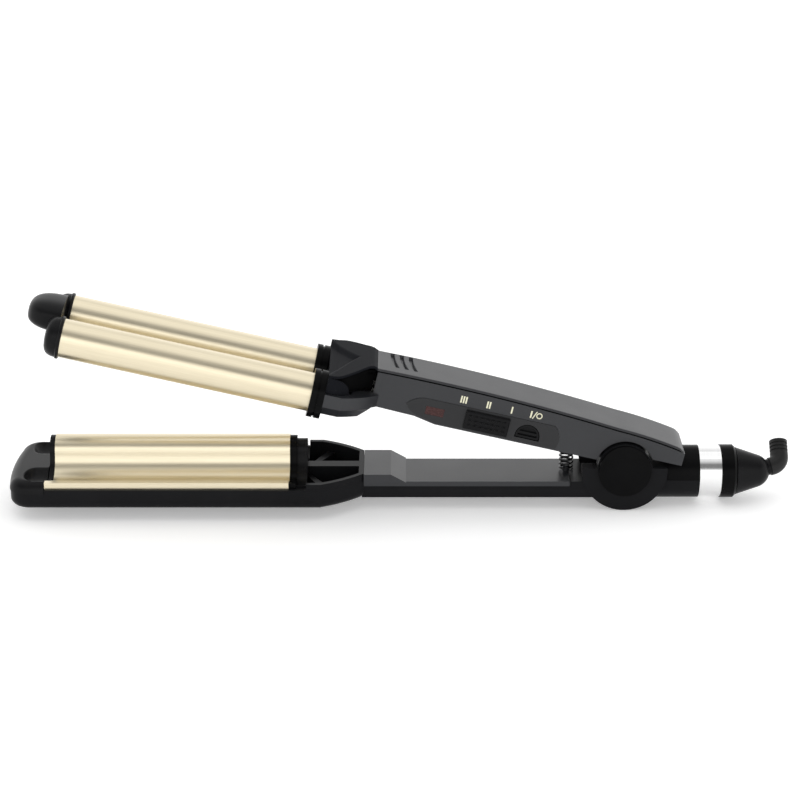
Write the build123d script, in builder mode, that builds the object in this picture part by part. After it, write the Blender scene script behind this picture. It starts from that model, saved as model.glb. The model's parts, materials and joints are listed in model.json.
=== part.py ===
from build123d import *

import os
from math import cos, hypot, radians, sin, sqrt

# A deep-wave hair crimper. Two arms turn on one pin near the cord end. The upper jaw holds two round heated
# barrels side by side, the lower jaw one heated plate with a crest between two grooves.
#
# Millimetres, +Z up, -X towards the jaw tips, origin on the table below the middle of the object. The
# lower arm lies level. The upper arm is drawn where it rests, OPENING degrees above the lower arm. Places
# on either arm are given as s, the distance from the hinge axis towards the tip, and h, the height above it.

# Overall sizes
TIP_REACH = 304.8  # hinge axis to the lower jaw's tip
TAIL_REACH = 83.9  # hinge axis to the strain relief's outer side
OPENING = 13.1  # degrees between the arms at rest
BOSS_RADIUS = 21.2  # hinge boss, which stands on the table
WALL = 2.0  # moulded shells
FIT = 0.05  # radial clearance of pieces fixed in one another
RUNNING = 0.06  # radial clearance of a shaft in its bore
GAP = 0.4  # free gap between pieces that move past each other

# Heated barrels
BARREL_RADIUS = 9.5
BARREL_WALL = 1.0
BARREL_Y = 18.0  # each barrel's distance from the middle plane
BARREL_H = 6.1
BARREL_ROOT = 156.0
BARREL_TIP = TIP_REACH - 22.1
COLLAR_RADIUS = BARREL_RADIUS + 2.5
COLLAR_LENGTH = 6.5
CAP_LENGTH = 8.3
CAP_RADIUS = BARREL_RADIUS + 0.9

HEATER_TIP = BARREL_TIP - 32.7
HEATER_ROOT = BARREL_ROOT + 24.0
SHOE_INSET = 2.0  # the heaters' shoes are shorter at each end

# Thumb dome between the barrel caps
DOME_WIDTH = 28.0
DOME_HEIGHT = 15.0
DOME_H = 11.5
DOME_START = BARREL_TIP + 3.3
DOME_END = TIP_REACH - 2.4

# Wave plate
HAIR_GAP = 1.0  # between barrel and groove when the jaws are shut
GROOVE_RADIUS = BARREL_RADIUS + HAIR_GAP
CREST_DROP = 0.8  # crest centre below the barrel axes
CREST_H = BARREL_H - CREST_DROP
CREST_RADIUS = hypot(BARREL_Y, CREST_DROP) - GROOVE_RADIUS
PLATE_WALL = 1.2
PLATE_HALF_WIDTH = BARREL_Y + BARREL_RADIUS + 1.0
PLATE_ROOT = 165.6
PLATE_TIP = BARREL_TIP - 0.5
LIP_TOP = -1.5
LIP_INNER = PLATE_HALF_WIDTH - 3.1
LIP_TIP = TIP_REACH - 19.7  # the lips reach further than the crest

PLATE_HEATER_TIP = PLATE_TIP - 20.2
PLATE_HEATER_ROOT = PLATE_ROOT + 22.4

# Lower shell
JAW_HALF_WIDTH = PLATE_HALF_WIDTH + 1.5
JAW_RIM = -4.8
JAW_BOTTOM = -15.2
JAW_EDGE = 4.0  # rounding of the jaw's lower edges
NOSE_CROWN = 1.5
NOSE_HALF = 18.0
NOSE_CORNER = 10.0
NECK_START = 150.0
NECK_END = 129.0
NECK_BULGE = 1.6
LOWER_HALF_WIDTH = 15.2
LOWER_TOP = -6.2
LOWER_COVER = 2.5
LOWER_FACET = -10.5
LOWER_BOTTOM = -15.6
LOWER_BOTTOM_HALF = 13.0
COVER_END = 27.0
BLOCK_END = 115.5
BLOCK_FOOT = 108.0
BLOCK_TOP = -2.0
BLOCK_HALF_WIDTH = 16.5
TIP_SPLIT = -7.0
TIP_TOP = -1.2
TIP_START = TIP_REACH - 19.6

# Neck frame
RIM_TOP = -1.8
RIM_WALL = 2.4
RIB_TOP = -2.7
RIB_WIDTH = 7.0
STRUT_TOP = -6.6
STRUT_WIDTH = 3.4
HOLDER_ROOT = 157.0
HOLDER_TIP = 162.0
HOLDER_INSET = 2.2  # lower than the plate, to clear the barrels' collars

# Upper handle
HANDLE_HALF_WIDTH = 14.0
HANDLE_FRONT = 130.0
HANDLE_REAR = -27.0
TOP_FRONT = 23.6
TOP_BEND_S = 8.0
TOP_BEND = 20.1
TOP_BOW = 1.6  # rise of the top line's middle over a straight line
TOP_REAR = 16.2
TAIL_BOW = 0.7
COVER_THICKNESS = 1.6
EDGE_FRONT = 4.4
EDGE_STEP_S = 108.0
EDGE_STEP = 3.8
EDGE_MIDDLE_S = 97.0
EDGE_MIDDLE = 1.7
EDGE_REAR = 8.0
NOTCH_RADIUS = 14.6
FLOOR_END = 20.5  # the handle's floor stops here, ahead of the hinge

# Yoke
YOKE_FRONT = 153.5
YOKE_HALF_WIDTH = 27.8
YOKE_SPLIT = 10.5
YOKE_BOTTOM = -2.3
BOWL_HALF_WIDTH = 29.6
BOWL_START = 145.0  # the bowl is full width ahead of here
BOWL_END = 127.0
KEEL_HEIGHT = 6.3  # slanting lower sides of the bowl
KEEL_INSET = 7.6
YOKE_TOP_FRONT = 19.5
YOKE_TOP_REAR = 24.6

# Hinge
PIN_RADIUS = 4.0
DRUM_RADIUS = 13.7
BOSS_HALF_WIDTH = 16.0
BOSS_CUT = 1.0
SLOT_HALF_WIDTH = 8.5
TONGUE_HALF_WIDTH = 8.0
TONGUE_RADIUS = 11.0
DISC_RADIUS = 13.0
DISC_THICKNESS = 2.4

# Opening spring
SPRING_S = 26.5
SPRING_RADIUS = 3.2
SPRING_WIRE = 1.0
SPRING_TURNS = 5.5
SPRING_POST = 1.5

# Pivot cap spigots
SPIGOT_RADIUS = 7.0
SPIGOT_DEPTH = 1.6

# Rear barrel, trim ring and cord swivel, by distance behind the hinge axis
REAR_H = LOWER_TOP - 0.4
REAR_RADIUS = 13.1
REAR_START = BOSS_RADIUS + GAP
REAR_END = 37.8
REAR_BORE = 10.6
RING_RADIUS = 12.8
RING_END = 48.7
COLLAR_END = 56.3
REAR_COLLAR_RADIUS = 13.3
STEM_RADIUS = 6.0
SWIVEL_START = 56.8
SWIVEL_RADIUS = 11.8
SWIVEL_WAIST = 67.7
SWIVEL_WAIST_RADIUS = 8.15
SWIVEL_END = 74.0
CORD_TILT = 45.0  # degrees that the cord exit leans back from upright
RELIEF_RADIUS = 4.5
RELIEF_GAP = 0.3  # from the ball's end to the boot
RELIEF_START_H = 2.2  # the boot's first point, off the swivel axis
RELIEF_BEND_H = 3.6  # the boot's corner, off the swivel axis
RELIEF_BEND_RADIUS = 5.2
RELIEF_REACH = 16.0  # the boot's mouth, off the swivel axis
RELIEF_NECK = 6.0
CORD_RADIUS = 3.2
CORD_GRIP = 8.0
RIB_COUNT = 3
RIB_PITCH = 1.9
RIB_DEPTH = 0.45
STEM_FLANGE = 2.2  # flange that keeps the stem in the collar
STEM_STEP = 1.6
STEM_CLEARANCE = 0.3
COLLAR_WALL = 3.0
SWIVEL_BORE = 14.0

# Controls on the handle's side
PANEL_FRONT = 113.0
PANEL_REAR = 35.0
PANEL_TOP = 14.2
PANEL_DEPTH = 1.0
PANEL_PROUD = 0.3
LED_S = 98.5
LED_LENGTH = 9.2
LED_HEIGHT = 4.2
SLIDER_S = 72.3
SLIDER_LENGTH = 22.0
SLIDER_HEIGHT = 9.2
SLIDER_TRAVEL = 4.0
BUTTON_S = 51.3
BUTTON_WIDTH = 11.6
BUTTON_HEIGHT = 6.8
BUTTON_TRAVEL = 1.2
CONTROL_H = 8.3
BOARD_Y = -4.0
BOARD_THICKNESS = 1.6
STEM_LENGTH = 4.0  # slide switch stem
STEM_HEIGHT = 3.0
BUTTON_SHOULDER = 1.6
BUTTON_SINK = 0.3  # face below the panel
BUTTON_DEPTH = 4.6
BUTTON_DISH = 1.2

# Vent slots in the upper handle
VENT_START = 7.7  # first slot behind the handle's front
VENT_PITCH = 4.6
VENT_LENGTH = 19.0
VENT_WIDTH = 1.8

# Screws and the posts they sit in
UPPER_SCREWS = (120.5, 33.0)
LOWER_SCREWS = (112.0, 38.0)
SCREW_Y = 4.0
SCREW_RADIUS = 1.3
HEAD_RADIUS = 2.7
HEAD_SINK = 3.0
POST_RADIUS = 3.9

# Leads
WIRE_RADIUS = 1.1
WIRE_HOLE = 3.4
UPPER_WIRE_H = 7.8
LOWER_WIRE_H = -10.2
LOWER_WIRE_Y = -8.0


PIVOT_X = (TIP_REACH - TAIL_REACH) / 2
HINGE = Vector(PIVOT_X, 0, BOSS_RADIUS)


class Arm:
    """The planes of an arm that leaves the hinge at a pitch above the table."""

    def __init__(self, pitch):
        self.along = Vector(cos(radians(pitch)), 0, -sin(radians(pitch)))
        self.up = Vector(sin(radians(pitch)), 0, cos(radians(pitch)))

    def side(self, y=0):
        """Seen from -Y: x is minus s, y is h."""
        return Plane(origin=HINGE + Vector(0, y, 0), x_dir=self.along, z_dir=(0, -1, 0))

    def top(self, h):
        """Seen from above: x is minus s."""
        return Plane(origin=HINGE + self.up * h, x_dir=self.along, z_dir=self.up)

    def across(self, s):
        """Square to the arm at s: x is +Y, y is h, and the normal points at the cord end."""
        return Plane(origin=HINGE - self.along * s, x_dir=(0, 1, 0), z_dir=self.along)


LOWER = Arm(0)
UPPER = Arm(OPENING)


def save(piece, name):
    piece.part.label = name
    export_step(piece.part, f"parts/{name}.step")


def disc(plane, x, y, radius, amount, mode=Mode.ADD, both=False):
    """A round boss or hole drawn on a plane."""
    with BuildSketch(plane) as profile:
        with Locations((x, y)):
            Circle(radius)
    extrude(profile.sketch, amount=amount, both=both, mode=mode)


def block(plane, x0, x1, y0, y1, amount, mode=Mode.ADD, both=False):
    """A rectangular block or cut drawn on a plane between two corners."""
    with BuildSketch(plane) as profile:
        with Locations(((x0 + x1) / 2, (y0 + y1) / 2)):
            Rectangle(abs(x1 - x0), abs(y1 - y0))
    extrude(profile.sketch, amount=amount, both=both, mode=mode)


def polygon(plane, points, amount, mode=Mode.ADD, both=False):
    """A straight-sided block or cut drawn on a plane."""
    with BuildSketch(plane) as profile:
        with BuildLine():
            Polyline(*points, close=True)
        make_face()
    extrude(profile.sketch, amount=amount, both=both, mode=mode)


# ---------------------------------------------------------------- upper jaw


def barrel(y):
    with BuildPart() as tube:
        disc(UPPER.across(BARREL_TIP), y, BARREL_H, BARREL_RADIUS, BARREL_TIP - BARREL_ROOT)
        disc(
            UPPER.across(BARREL_TIP), y, BARREL_H, BARREL_RADIUS - BARREL_WALL,
            BARREL_TIP - BARREL_ROOT, Mode.SUBTRACT,
        )
    return tube


def root_collar(y):
    """Two rings with a groove between them; the wires pass through its end wall."""
    start = YOKE_FRONT + COLLAR_LENGTH
    groove = 0.8
    with BuildPart() as collar:
        disc(UPPER.across(start), y, BARREL_H, COLLAR_RADIUS, COLLAR_LENGTH)
        with BuildSketch(UPPER.across(start - COLLAR_LENGTH * 0.42)):
            with Locations((y, BARREL_H)):
                Circle(COLLAR_RADIUS + 1)
                Circle(COLLAR_RADIUS - groove, mode=Mode.SUBTRACT)
        extrude(amount=groove, mode=Mode.SUBTRACT)
        disc(
            UPPER.across(start), y, BARREL_H, BARREL_RADIUS + FIT,
            start - BARREL_ROOT + FIT, Mode.SUBTRACT,
        )
        disc(UPPER.across(start), y, BARREL_H, WIRE_HOLE, COLLAR_LENGTH, Mode.SUBTRACT)
    return collar


def upper_tip_cap():
    """One heat-proof moulding: a cap on each barrel and the thumb dome between them."""
    plug = 6.0
    with BuildPart() as cap:
        for y in (-BARREL_Y, BARREL_Y):
            disc(UPPER.across(BARREL_TIP + CAP_LENGTH), y, BARREL_H, CAP_RADIUS, CAP_LENGTH)
        tip_edges = cap.faces().sort_by(Axis.X)[:2].edges()
        fillet(tip_edges, CAP_RADIUS * 0.62)
        with BuildSketch(UPPER.across(DOME_END)):
            with Locations((0, DOME_H)):
                RectangleRounded(DOME_WIDTH, DOME_HEIGHT, DOME_HEIGHT * 0.46)
        extrude(amount=DOME_END - DOME_START)
        fillet(cap.faces().sort_by(Axis.X)[0].edges(), DOME_HEIGHT * 0.4)
        for y in (-BARREL_Y, BARREL_Y):
            disc(
                UPPER.across(BARREL_TIP), y, BARREL_H, BARREL_RADIUS - BARREL_WALL - FIT, plug,
            )
    return cap


def barrel_heater(y):
    """A ceramic heater bar along the barrel's axis."""
    width, height = 7.0, 3.0
    with BuildPart() as heater:
        block(
            UPPER.across(HEATER_TIP), y - width / 2, y + width / 2,
            BARREL_H - height / 2, BARREL_H + height / 2, HEATER_TIP - HEATER_ROOT,
        )
    return heater


def heater_clamp(y):
    """Two half-round aluminium shoes that press the heater against the tube."""
    start = HEATER_TIP - SHOE_INSET
    length = start - HEATER_ROOT - SHOE_INSET
    outer = BARREL_RADIUS - BARREL_WALL - FIT
    half_slot = 1.5 + FIT
    with BuildPart() as clamp:
        disc(UPPER.across(start), y, BARREL_H, outer, length)
        disc(UPPER.across(start), y, BARREL_H, outer - 2.5, length, Mode.SUBTRACT)
        block(
            UPPER.across(start), y - outer, y + outer,
            BARREL_H - half_slot, BARREL_H + half_slot, length, Mode.SUBTRACT,
        )
        for side in (-1, 1):
            block(
                UPPER.across(start), y - 1.5, y + 1.5, BARREL_H + side * half_slot,
                BARREL_H + side * (outer - 2), length,
            )
    return clamp


# ---------------------------------------------------------------- yoke and upper handle


def handle_top_line(drop):
    """The handle's top line from front to rear, drawn lower by drop."""
    front = (-HANDLE_FRONT, TOP_FRONT - drop)
    bend = (-TOP_BEND_S, TOP_BEND - drop)
    rear = (-HANDLE_REAR, TOP_REAR - drop)
    ThreePointArc(front, ((front[0] + bend[0]) / 2, (front[1] + bend[1]) / 2 + TOP_BOW), bend)
    ThreePointArc(bend, ((bend[0] + rear[0]) / 2, (bend[1] + rear[1]) / 2 + TAIL_BOW), rear)


def yoke_plan():
    """Half-width of the yoke along the arm, as a smooth curve from the barrels to the handle."""
    return [
        (-YOKE_FRONT, YOKE_HALF_WIDTH),
        (-YOKE_FRONT + 4.5, YOKE_HALF_WIDTH),
        (-YOKE_FRONT + 8.8, YOKE_HALF_WIDTH - 2.2),
        (-YOKE_FRONT + 13.5, YOKE_HALF_WIDTH - 6.6),
        (-YOKE_FRONT + 19.1, YOKE_HALF_WIDTH - 12.2),
    ]


def yoke_sketch(plane, tail):
    """The yoke's outline from above; tail is how far behind the barrels it ends, and how wide there."""
    upper = yoke_plan() + [tail]
    with BuildSketch(plane) as outline:
        with BuildLine():
            Line(upper[0], upper[1])
            Spline(*upper[1:])
            Line(upper[-1], (upper[-1][0], -upper[-1][1]))
            lower = [(x, -y) for x, y in upper]
            Spline(*lower[1:][::-1])
            Line(lower[1], lower[0])
            Line(lower[0], upper[0])
        make_face()
    return outline.sketch


def bowl_sketch(h, inset):
    """The bowl's outline from above at a height, drawn narrower by inset."""
    wide = BOWL_HALF_WIDTH - inset
    narrow = HANDLE_HALF_WIDTH - inset
    middle = (-(BOWL_START + BOWL_END) / 2, (wide + narrow) / 2 + NECK_BULGE)
    with BuildSketch(UPPER.top(h)) as outline:
        with BuildLine():
            Polyline((-BOWL_START, -wide), (-YOKE_FRONT, -wide), (-YOKE_FRONT, wide), (-BOWL_START, wide))
            ThreePointArc((-BOWL_START, wide), middle, (-BOWL_END, narrow))
            Line((-BOWL_END, narrow), (-BOWL_END, -narrow))
            ThreePointArc((-BOWL_END, -narrow), (middle[0], -middle[1]), (-BOWL_START, -wide))
        make_face()
    return outline.sketch


def upper_cover():
    """Yoke plate, its two front cheeks and the handle's top in one moulding."""
    half = HANDLE_HALF_WIDTH
    with BuildPart() as cover:
        with BuildSketch(UPPER.side()):
            with BuildLine():
                handle_top_line(0)
                Line((-HANDLE_REAR, TOP_REAR), (-HANDLE_REAR, TOP_REAR - COVER_THICKNESS))
                handle_top_line(COVER_THICKNESS)
                Line((-HANDLE_FRONT, TOP_FRONT), (-HANDLE_FRONT, TOP_FRONT - COVER_THICKNESS))
            make_face()
        extrude(amount=half, both=True)
        long_edges = cover.edges().filter_by(lambda e: abs(abs(e.center().Y) - half) < 0.01)
        fillet(long_edges.group_by(lambda e: round(e.center().Z - COVER_THICKNESS, 0))[-1:][0], 0.6)
        # Yoke plate, cut to its sloping top, then hollowed
        plate = yoke_sketch(UPPER.top(YOKE_SPLIT), (-YOKE_FRONT + 26.5, 6.0))
        extrude(plate, amount=YOKE_TOP_REAR - YOKE_SPLIT)
        slope = [
            (-YOKE_FRONT - 1, YOKE_TOP_FRONT), (-YOKE_FRONT + 4, YOKE_TOP_FRONT + 0.3),
            (-YOKE_FRONT + 20, YOKE_TOP_REAR - 0.1), (-YOKE_FRONT + 20, YOKE_TOP_REAR + 9),
            (-YOKE_FRONT - 1, YOKE_TOP_REAR + 9),
        ]
        polygon(UPPER.side(), slope, JAW_HALF_WIDTH, Mode.SUBTRACT, both=True)
        # Side recesses and the hollow under the plate
        under = [
            (-YOKE_FRONT + 8.5, YOKE_SPLIT - 1), (-YOKE_FRONT + 5.0, YOKE_TOP_FRONT - 3.0),
            (-HANDLE_FRONT - GAP, YOKE_TOP_REAR - 3.6), (-HANDLE_FRONT - GAP, TOP_FRONT - COVER_THICKNESS),
            (-YOKE_FRONT + 40, TOP_FRONT - COVER_THICKNESS), (-YOKE_FRONT + 40, YOKE_SPLIT - 1),
        ]
        polygon(UPPER.side(), under, JAW_HALF_WIDTH, Mode.SUBTRACT, both=True)
        inner = [
            (-YOKE_FRONT - 1, YOKE_SPLIT - 1), (-YOKE_FRONT - 1, YOKE_TOP_FRONT - WALL),
            (-YOKE_FRONT + 20, YOKE_TOP_REAR - WALL - 2.6), (-YOKE_FRONT + 20, YOKE_SPLIT - 1),
        ]
        polygon(UPPER.side(), inner, YOKE_HALF_WIDTH - WALL, Mode.SUBTRACT, both=True)
        # Three vent slots
        for step in range(3):
            s = HANDLE_FRONT - VENT_START - step * VENT_PITCH
            with BuildSketch(UPPER.top(TOP_FRONT - 6)):
                with Locations((-s, 0)):
                    SlotOverall(VENT_LENGTH, VENT_WIDTH, rotation=90)
            extrude(amount=12, mode=Mode.SUBTRACT)
    return cover


def upper_shell():
    """Yoke bowl, handle channel and the hinge tongue in one moulding."""
    half = HANDLE_HALF_WIDTH
    roof = COVER_THICKNESS + FIT
    with BuildPart() as shell:
        with BuildSketch(UPPER.side()):
            with BuildLine():
                handle_top_line(roof)
                Line((-HANDLE_REAR, TOP_REAR - roof), (-HANDLE_REAR, EDGE_REAR))
                Line((-HANDLE_REAR, EDGE_REAR), (0, EDGE_REAR))
                Line((0, EDGE_REAR), (0, EDGE_MIDDLE))
                Line((0, EDGE_MIDDLE), (-EDGE_MIDDLE_S, EDGE_MIDDLE))
                Line((-EDGE_MIDDLE_S, EDGE_MIDDLE), (-EDGE_STEP_S, EDGE_STEP))
                Line((-EDGE_STEP_S, EDGE_STEP), (-HANDLE_FRONT, EDGE_FRONT))
                Line((-HANDLE_FRONT, EDGE_FRONT), (-HANDLE_FRONT, TOP_FRONT - roof))
            make_face()
        extrude(amount=half, both=True)
        # Yoke bowl below the split line, with slanting lower sides and a heel under the handle
        loft([bowl_sketch(YOKE_BOTTOM, KEEL_INSET), bowl_sketch(YOKE_BOTTOM + KEEL_HEIGHT, 0)], ruled=True)
        widest = YOKE_BOTTOM + KEEL_HEIGHT
        extrude(bowl_sketch(widest, 0), amount=YOKE_SPLIT - FIT - widest)
        heel = [
            (-YOKE_FRONT + 18, YOKE_BOTTOM - 0.5), (-YOKE_FRONT + 23.7, EDGE_FRONT),
            (-BOWL_END + 0.5, EDGE_FRONT - 0.1), (-BOWL_END + 0.5, YOKE_BOTTOM - 0.5),
        ]
        polygon(UPPER.side(), heel, JAW_HALF_WIDTH, Mode.SUBTRACT, both=True)
        # Hollow of the handle
        hollow = [
            (-HANDLE_FRONT + WALL, EDGE_FRONT + WALL), (-HANDLE_FRONT + WALL, TOP_FRONT + 5),
            (-HANDLE_REAR - WALL, TOP_FRONT + 5), (-HANDLE_REAR - WALL, EDGE_REAR - 8),
            (-FLOOR_END, EDGE_MIDDLE - 8), (-FLOOR_END, EDGE_MIDDLE + WALL),
            (-EDGE_MIDDLE_S, EDGE_MIDDLE + WALL), (-EDGE_STEP_S, EDGE_STEP + WALL),
        ]
        polygon(UPPER.side(), hollow, half - WALL, Mode.SUBTRACT, both=True)
        # Hollow of the yoke bowl, open to the handle
        yoke_hollow = [
            (-YOKE_FRONT + 3.6, YOKE_BOTTOM + WALL), (-YOKE_FRONT + 13, YOKE_BOTTOM + WALL),
            (-YOKE_FRONT + 21.5, EDGE_FRONT + WALL), (-YOKE_FRONT + 28, EDGE_FRONT + WALL),
            (-YOKE_FRONT + 28, YOKE_SPLIT + 10), (-YOKE_FRONT + 3.6, YOKE_SPLIT + 10),
        ]
        polygon(UPPER.side(), yoke_hollow, half - WALL, Mode.SUBTRACT, both=True)
        for y in (-BARREL_Y, BARREL_Y):
            disc(UPPER.across(YOKE_FRONT + 1), y, BARREL_H, WIRE_HOLE, 14, Mode.SUBTRACT)
            block(
                UPPER.across(YOKE_FRONT - 3.6), 0, y + (WIRE_HOLE if y > 0 else -WIRE_HOLE),
                BARREL_H - WIRE_HOLE, YOKE_SPLIT + 1, 9.5, Mode.SUBTRACT,
            )
        # Round notch for the pivot disc, and the room for the rear barrel
        with BuildSketch(UPPER.side()):
            Circle(NOTCH_RADIUS)
        extrude(amount=half + 1, both=True, mode=Mode.SUBTRACT)
        disc(LOWER.across(0), 0, REAR_H, REAR_RADIUS + GAP, REAR_END, Mode.SUBTRACT)
        # Tongue with the bore for the hinge pin
        bridge = [
            (-FLOOR_END - 8, EDGE_MIDDLE + 0.5), (-FLOOR_END - 8, TOP_BEND - roof - 1),
            (-NOTCH_RADIUS - 1, TOP_BEND - roof - 1), (-NOTCH_RADIUS - 1, EDGE_MIDDLE + 0.5),
        ]
        polygon(UPPER.side(), bridge, half - WALL, both=True)
        tongue = [(-NOTCH_RADIUS - 3, EDGE_MIDDLE + 0.5), (-NOTCH_RADIUS - 3, 13), (0, 10.5), (0, -1)]
        polygon(UPPER.side(), tongue, TONGUE_HALF_WIDTH, both=True)
        disc(UPPER.side(), 0, 0, TONGUE_RADIUS, TONGUE_HALF_WIDTH, both=True)
        disc(UPPER.side(), 0, 0, PIN_RADIUS + RUNNING, BOSS_RADIUS, Mode.SUBTRACT, both=True)
        # Pocket for the control panel with its openings
        extrude(panel_sketch(UPPER.side(-half + PANEL_DEPTH), FIT), amount=4, mode=Mode.SUBTRACT)
        control_openings(UPPER.side(-half + 5))
        # Screw posts
        for s in UPPER_SCREWS:
            floor = edge_height(s)
            post = roof_height(s - POST_RADIUS) - roof - floor - 0.5
            disc(UPPER.top(floor + 0.5), -s, SCREW_Y, POST_RADIUS, post)
            disc(UPPER.top(floor - 1), -s, SCREW_Y, SCREW_RADIUS + 0.2, 40, Mode.SUBTRACT)
            disc(UPPER.top(floor - 1), -s, SCREW_Y, HEAD_RADIUS + 0.2, 1 + HEAD_SINK, Mode.SUBTRACT)
    return shell


def between(s, rear, front):
    """Height at s on the straight line between two (s, height) places."""
    return rear[1] + (front[1] - rear[1]) * (s - rear[0]) / (front[0] - rear[0])


def edge_height(s):
    """Height of the handle's lower edge at s."""
    if s <= EDGE_MIDDLE_S:
        return EDGE_MIDDLE
    if s <= EDGE_STEP_S:
        return between(s, (EDGE_MIDDLE_S, EDGE_MIDDLE), (EDGE_STEP_S, EDGE_STEP))
    return between(s, (EDGE_STEP_S, EDGE_STEP), (HANDLE_FRONT, EDGE_FRONT))


def roof_height(s):
    """Height of the handle's top ahead of its bend."""
    off_middle = 2 * (s - TOP_BEND_S) / (HANDLE_FRONT - TOP_BEND_S) - 1
    straight = between(s, (TOP_BEND_S, TOP_BEND), (HANDLE_FRONT, TOP_FRONT))
    return straight + TOP_BOW * (1 - off_middle**2)


def panel_sketch(plane, grow):
    """The panel's outline: a point towards the jaws, a round end towards the hinge."""
    top = PANEL_TOP + grow
    low = EDGE_MIDDLE + 0.8 - grow
    front = -PANEL_FRONT - grow
    rear = -PANEL_REAR + grow
    with BuildSketch(plane) as outline:
        with BuildLine():
            Line((front + 9, top), (rear - 4, top))
            ThreePointArc((rear - 4, top), (rear - 0.9, (top + low) / 2 + 1.5), (rear - 1.5, low))
            Line((rear - 1.5, low), (-EDGE_MIDDLE_S, low))
            Line((-EDGE_MIDDLE_S, low), (front + 6.5, low + 2.2))
            ThreePointArc((front + 6.5, low + 2.2), (front + 2.2, low + 4.2), (front, 9.5))
            ThreePointArc((front, 9.5), (front + 3.2, top - 1.9), (front + 9, top))
        make_face()
    return outline.sketch


def half_moon(grow):
    """Face of the power button: flat below, arched above, drawn larger by grow."""
    half = BUTTON_WIDTH / 2 + grow
    low = -BUTTON_HEIGHT / 2 - grow
    shoulder = low + BUTTON_SHOULDER
    with BuildSketch() as face:
        with BuildLine():
            ThreePointArc((half, shoulder), (0, BUTTON_HEIGHT / 2 + grow), (-half, shoulder))
            Polyline((-half, shoulder), (-half, low), (half, low), (half, shoulder))
        make_face()
    add(face.sketch)


def control_openings(plane):
    """Cuts for the LED, the slider's stem over its whole travel, and the power button."""
    depth = 8
    with BuildSketch(plane) as cuts:
        with Locations((-LED_S, CONTROL_H)):
            Rectangle(LED_LENGTH + 2 * FIT, LED_HEIGHT + 2 * FIT)
        with Locations((-SLIDER_S, CONTROL_H)):
            Rectangle(STEM_LENGTH + 2 * SLIDER_TRAVEL + 2 * GAP, STEM_HEIGHT + 2 * GAP)
        with Locations((-BUTTON_S, CONTROL_H)):
            half_moon(GAP)
    extrude(cuts.sketch, amount=depth, mode=Mode.SUBTRACT)


def barrel_mount():
    """Black heat-proof block in the yoke that carries both barrel roots and closes the yoke off behind."""
    core = [
        (-YOKE_FRONT + 5, YOKE_SPLIT + FIT), (-YOKE_FRONT + 5, YOKE_TOP_FRONT - WALL + 0.4),
        (-YOKE_FRONT + 20, YOKE_TOP_REAR - WALL - 2.7), (-HANDLE_FRONT - 0.2, YOKE_TOP_REAR - WALL - 2.7),
        (-HANDLE_FRONT - 0.2, YOKE_SPLIT + FIT),
    ]
    with BuildPart() as mount:
        polygon(UPPER.side(), core, 13.2, both=True)
        block(
            UPPER.across(YOKE_FRONT - 0.1), -YOKE_HALF_WIDTH + WALL + 1, YOKE_HALF_WIDTH - WALL - 1,
            YOKE_SPLIT + FIT, YOKE_TOP_FRONT - 2.6, 5,
        )
    return mount


def control_panel():
    with BuildPart() as panel:
        outline = panel_sketch(UPPER.side(-HANDLE_HALF_WIDTH + PANEL_DEPTH), 0)
        extrude(outline, amount=PANEL_DEPTH + PANEL_PROUD)
        control_openings(UPPER.side(-HANDLE_HALF_WIDTH + 5))
    return panel


def led_window():
    with BuildPart() as window:
        block(
            UPPER.side(-HANDLE_HALF_WIDTH + WALL), -LED_S - LED_LENGTH / 2, -LED_S + LED_LENGTH / 2,
            CONTROL_H - LED_HEIGHT / 2, CONTROL_H + LED_HEIGHT / 2, WALL + PANEL_PROUD,
        )
    return window


def heat_slider():
    """A grip pad with rows of pips on a stem that reaches the slide switch."""
    face = -HANDLE_HALF_WIDTH - PANEL_PROUD - 0.3
    with BuildPart() as slider:
        block(
            UPPER.side(face), -SLIDER_S - SLIDER_LENGTH / 2, -SLIDER_S + SLIDER_LENGTH / 2,
            CONTROL_H - SLIDER_HEIGHT / 2, CONTROL_H + SLIDER_HEIGHT / 2, 1.6,
        )
        chamfer(slider.faces().sort_by(Axis.Y)[0].edges(), 0.5)
        with BuildSketch(UPPER.side(face - 1.5)):
            with Locations((-SLIDER_S, CONTROL_H)):
                with GridLocations(3.3, 2.3, 6, 3):
                    Circle(0.55)
        extrude(amount=0.6)
        block(
            UPPER.side(face + 5.6), -SLIDER_S - STEM_LENGTH / 2, -SLIDER_S + STEM_LENGTH / 2,
            CONTROL_H - STEM_HEIGHT / 2, CONTROL_H + STEM_HEIGHT / 2, 5.7,
        )
    return slider


def power_button():
    """A half-moon push button with a hollow face, a bar across it and a stem on its switch."""
    face = -HANDLE_HALF_WIDTH - PANEL_PROUD + BUTTON_SINK
    bar = BUTTON_WIDTH / 2 - 0.9
    with BuildPart() as button:
        with BuildSketch(UPPER.side(face + BUTTON_DEPTH)) as outline:
            with Locations((-BUTTON_S, CONTROL_H)):
                half_moon(0)
        extrude(amount=BUTTON_DEPTH)
        with BuildSketch(UPPER.side(face + BUTTON_DISH)) as dish:
            with Locations((-BUTTON_S, CONTROL_H)):
                half_moon(-1)
        extrude(amount=BUTTON_DISH, mode=Mode.SUBTRACT)
        block(
            UPPER.side(face + BUTTON_DISH), -BUTTON_S - bar, -BUTTON_S + bar, CONTROL_H - 1.4,
            CONTROL_H - 0.2, BUTTON_DISH,
        )
        disc(UPPER.side(face + BUTTON_DEPTH + 1), -BUTTON_S, CONTROL_H, 1.4, 1.2)
    return button


def circuit_board():
    with BuildPart() as board:
        block(
            UPPER.side(BOARD_Y), -108, -40, EDGE_FRONT + WALL, 17.5, BOARD_THICKNESS,
        )
    return board


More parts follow.
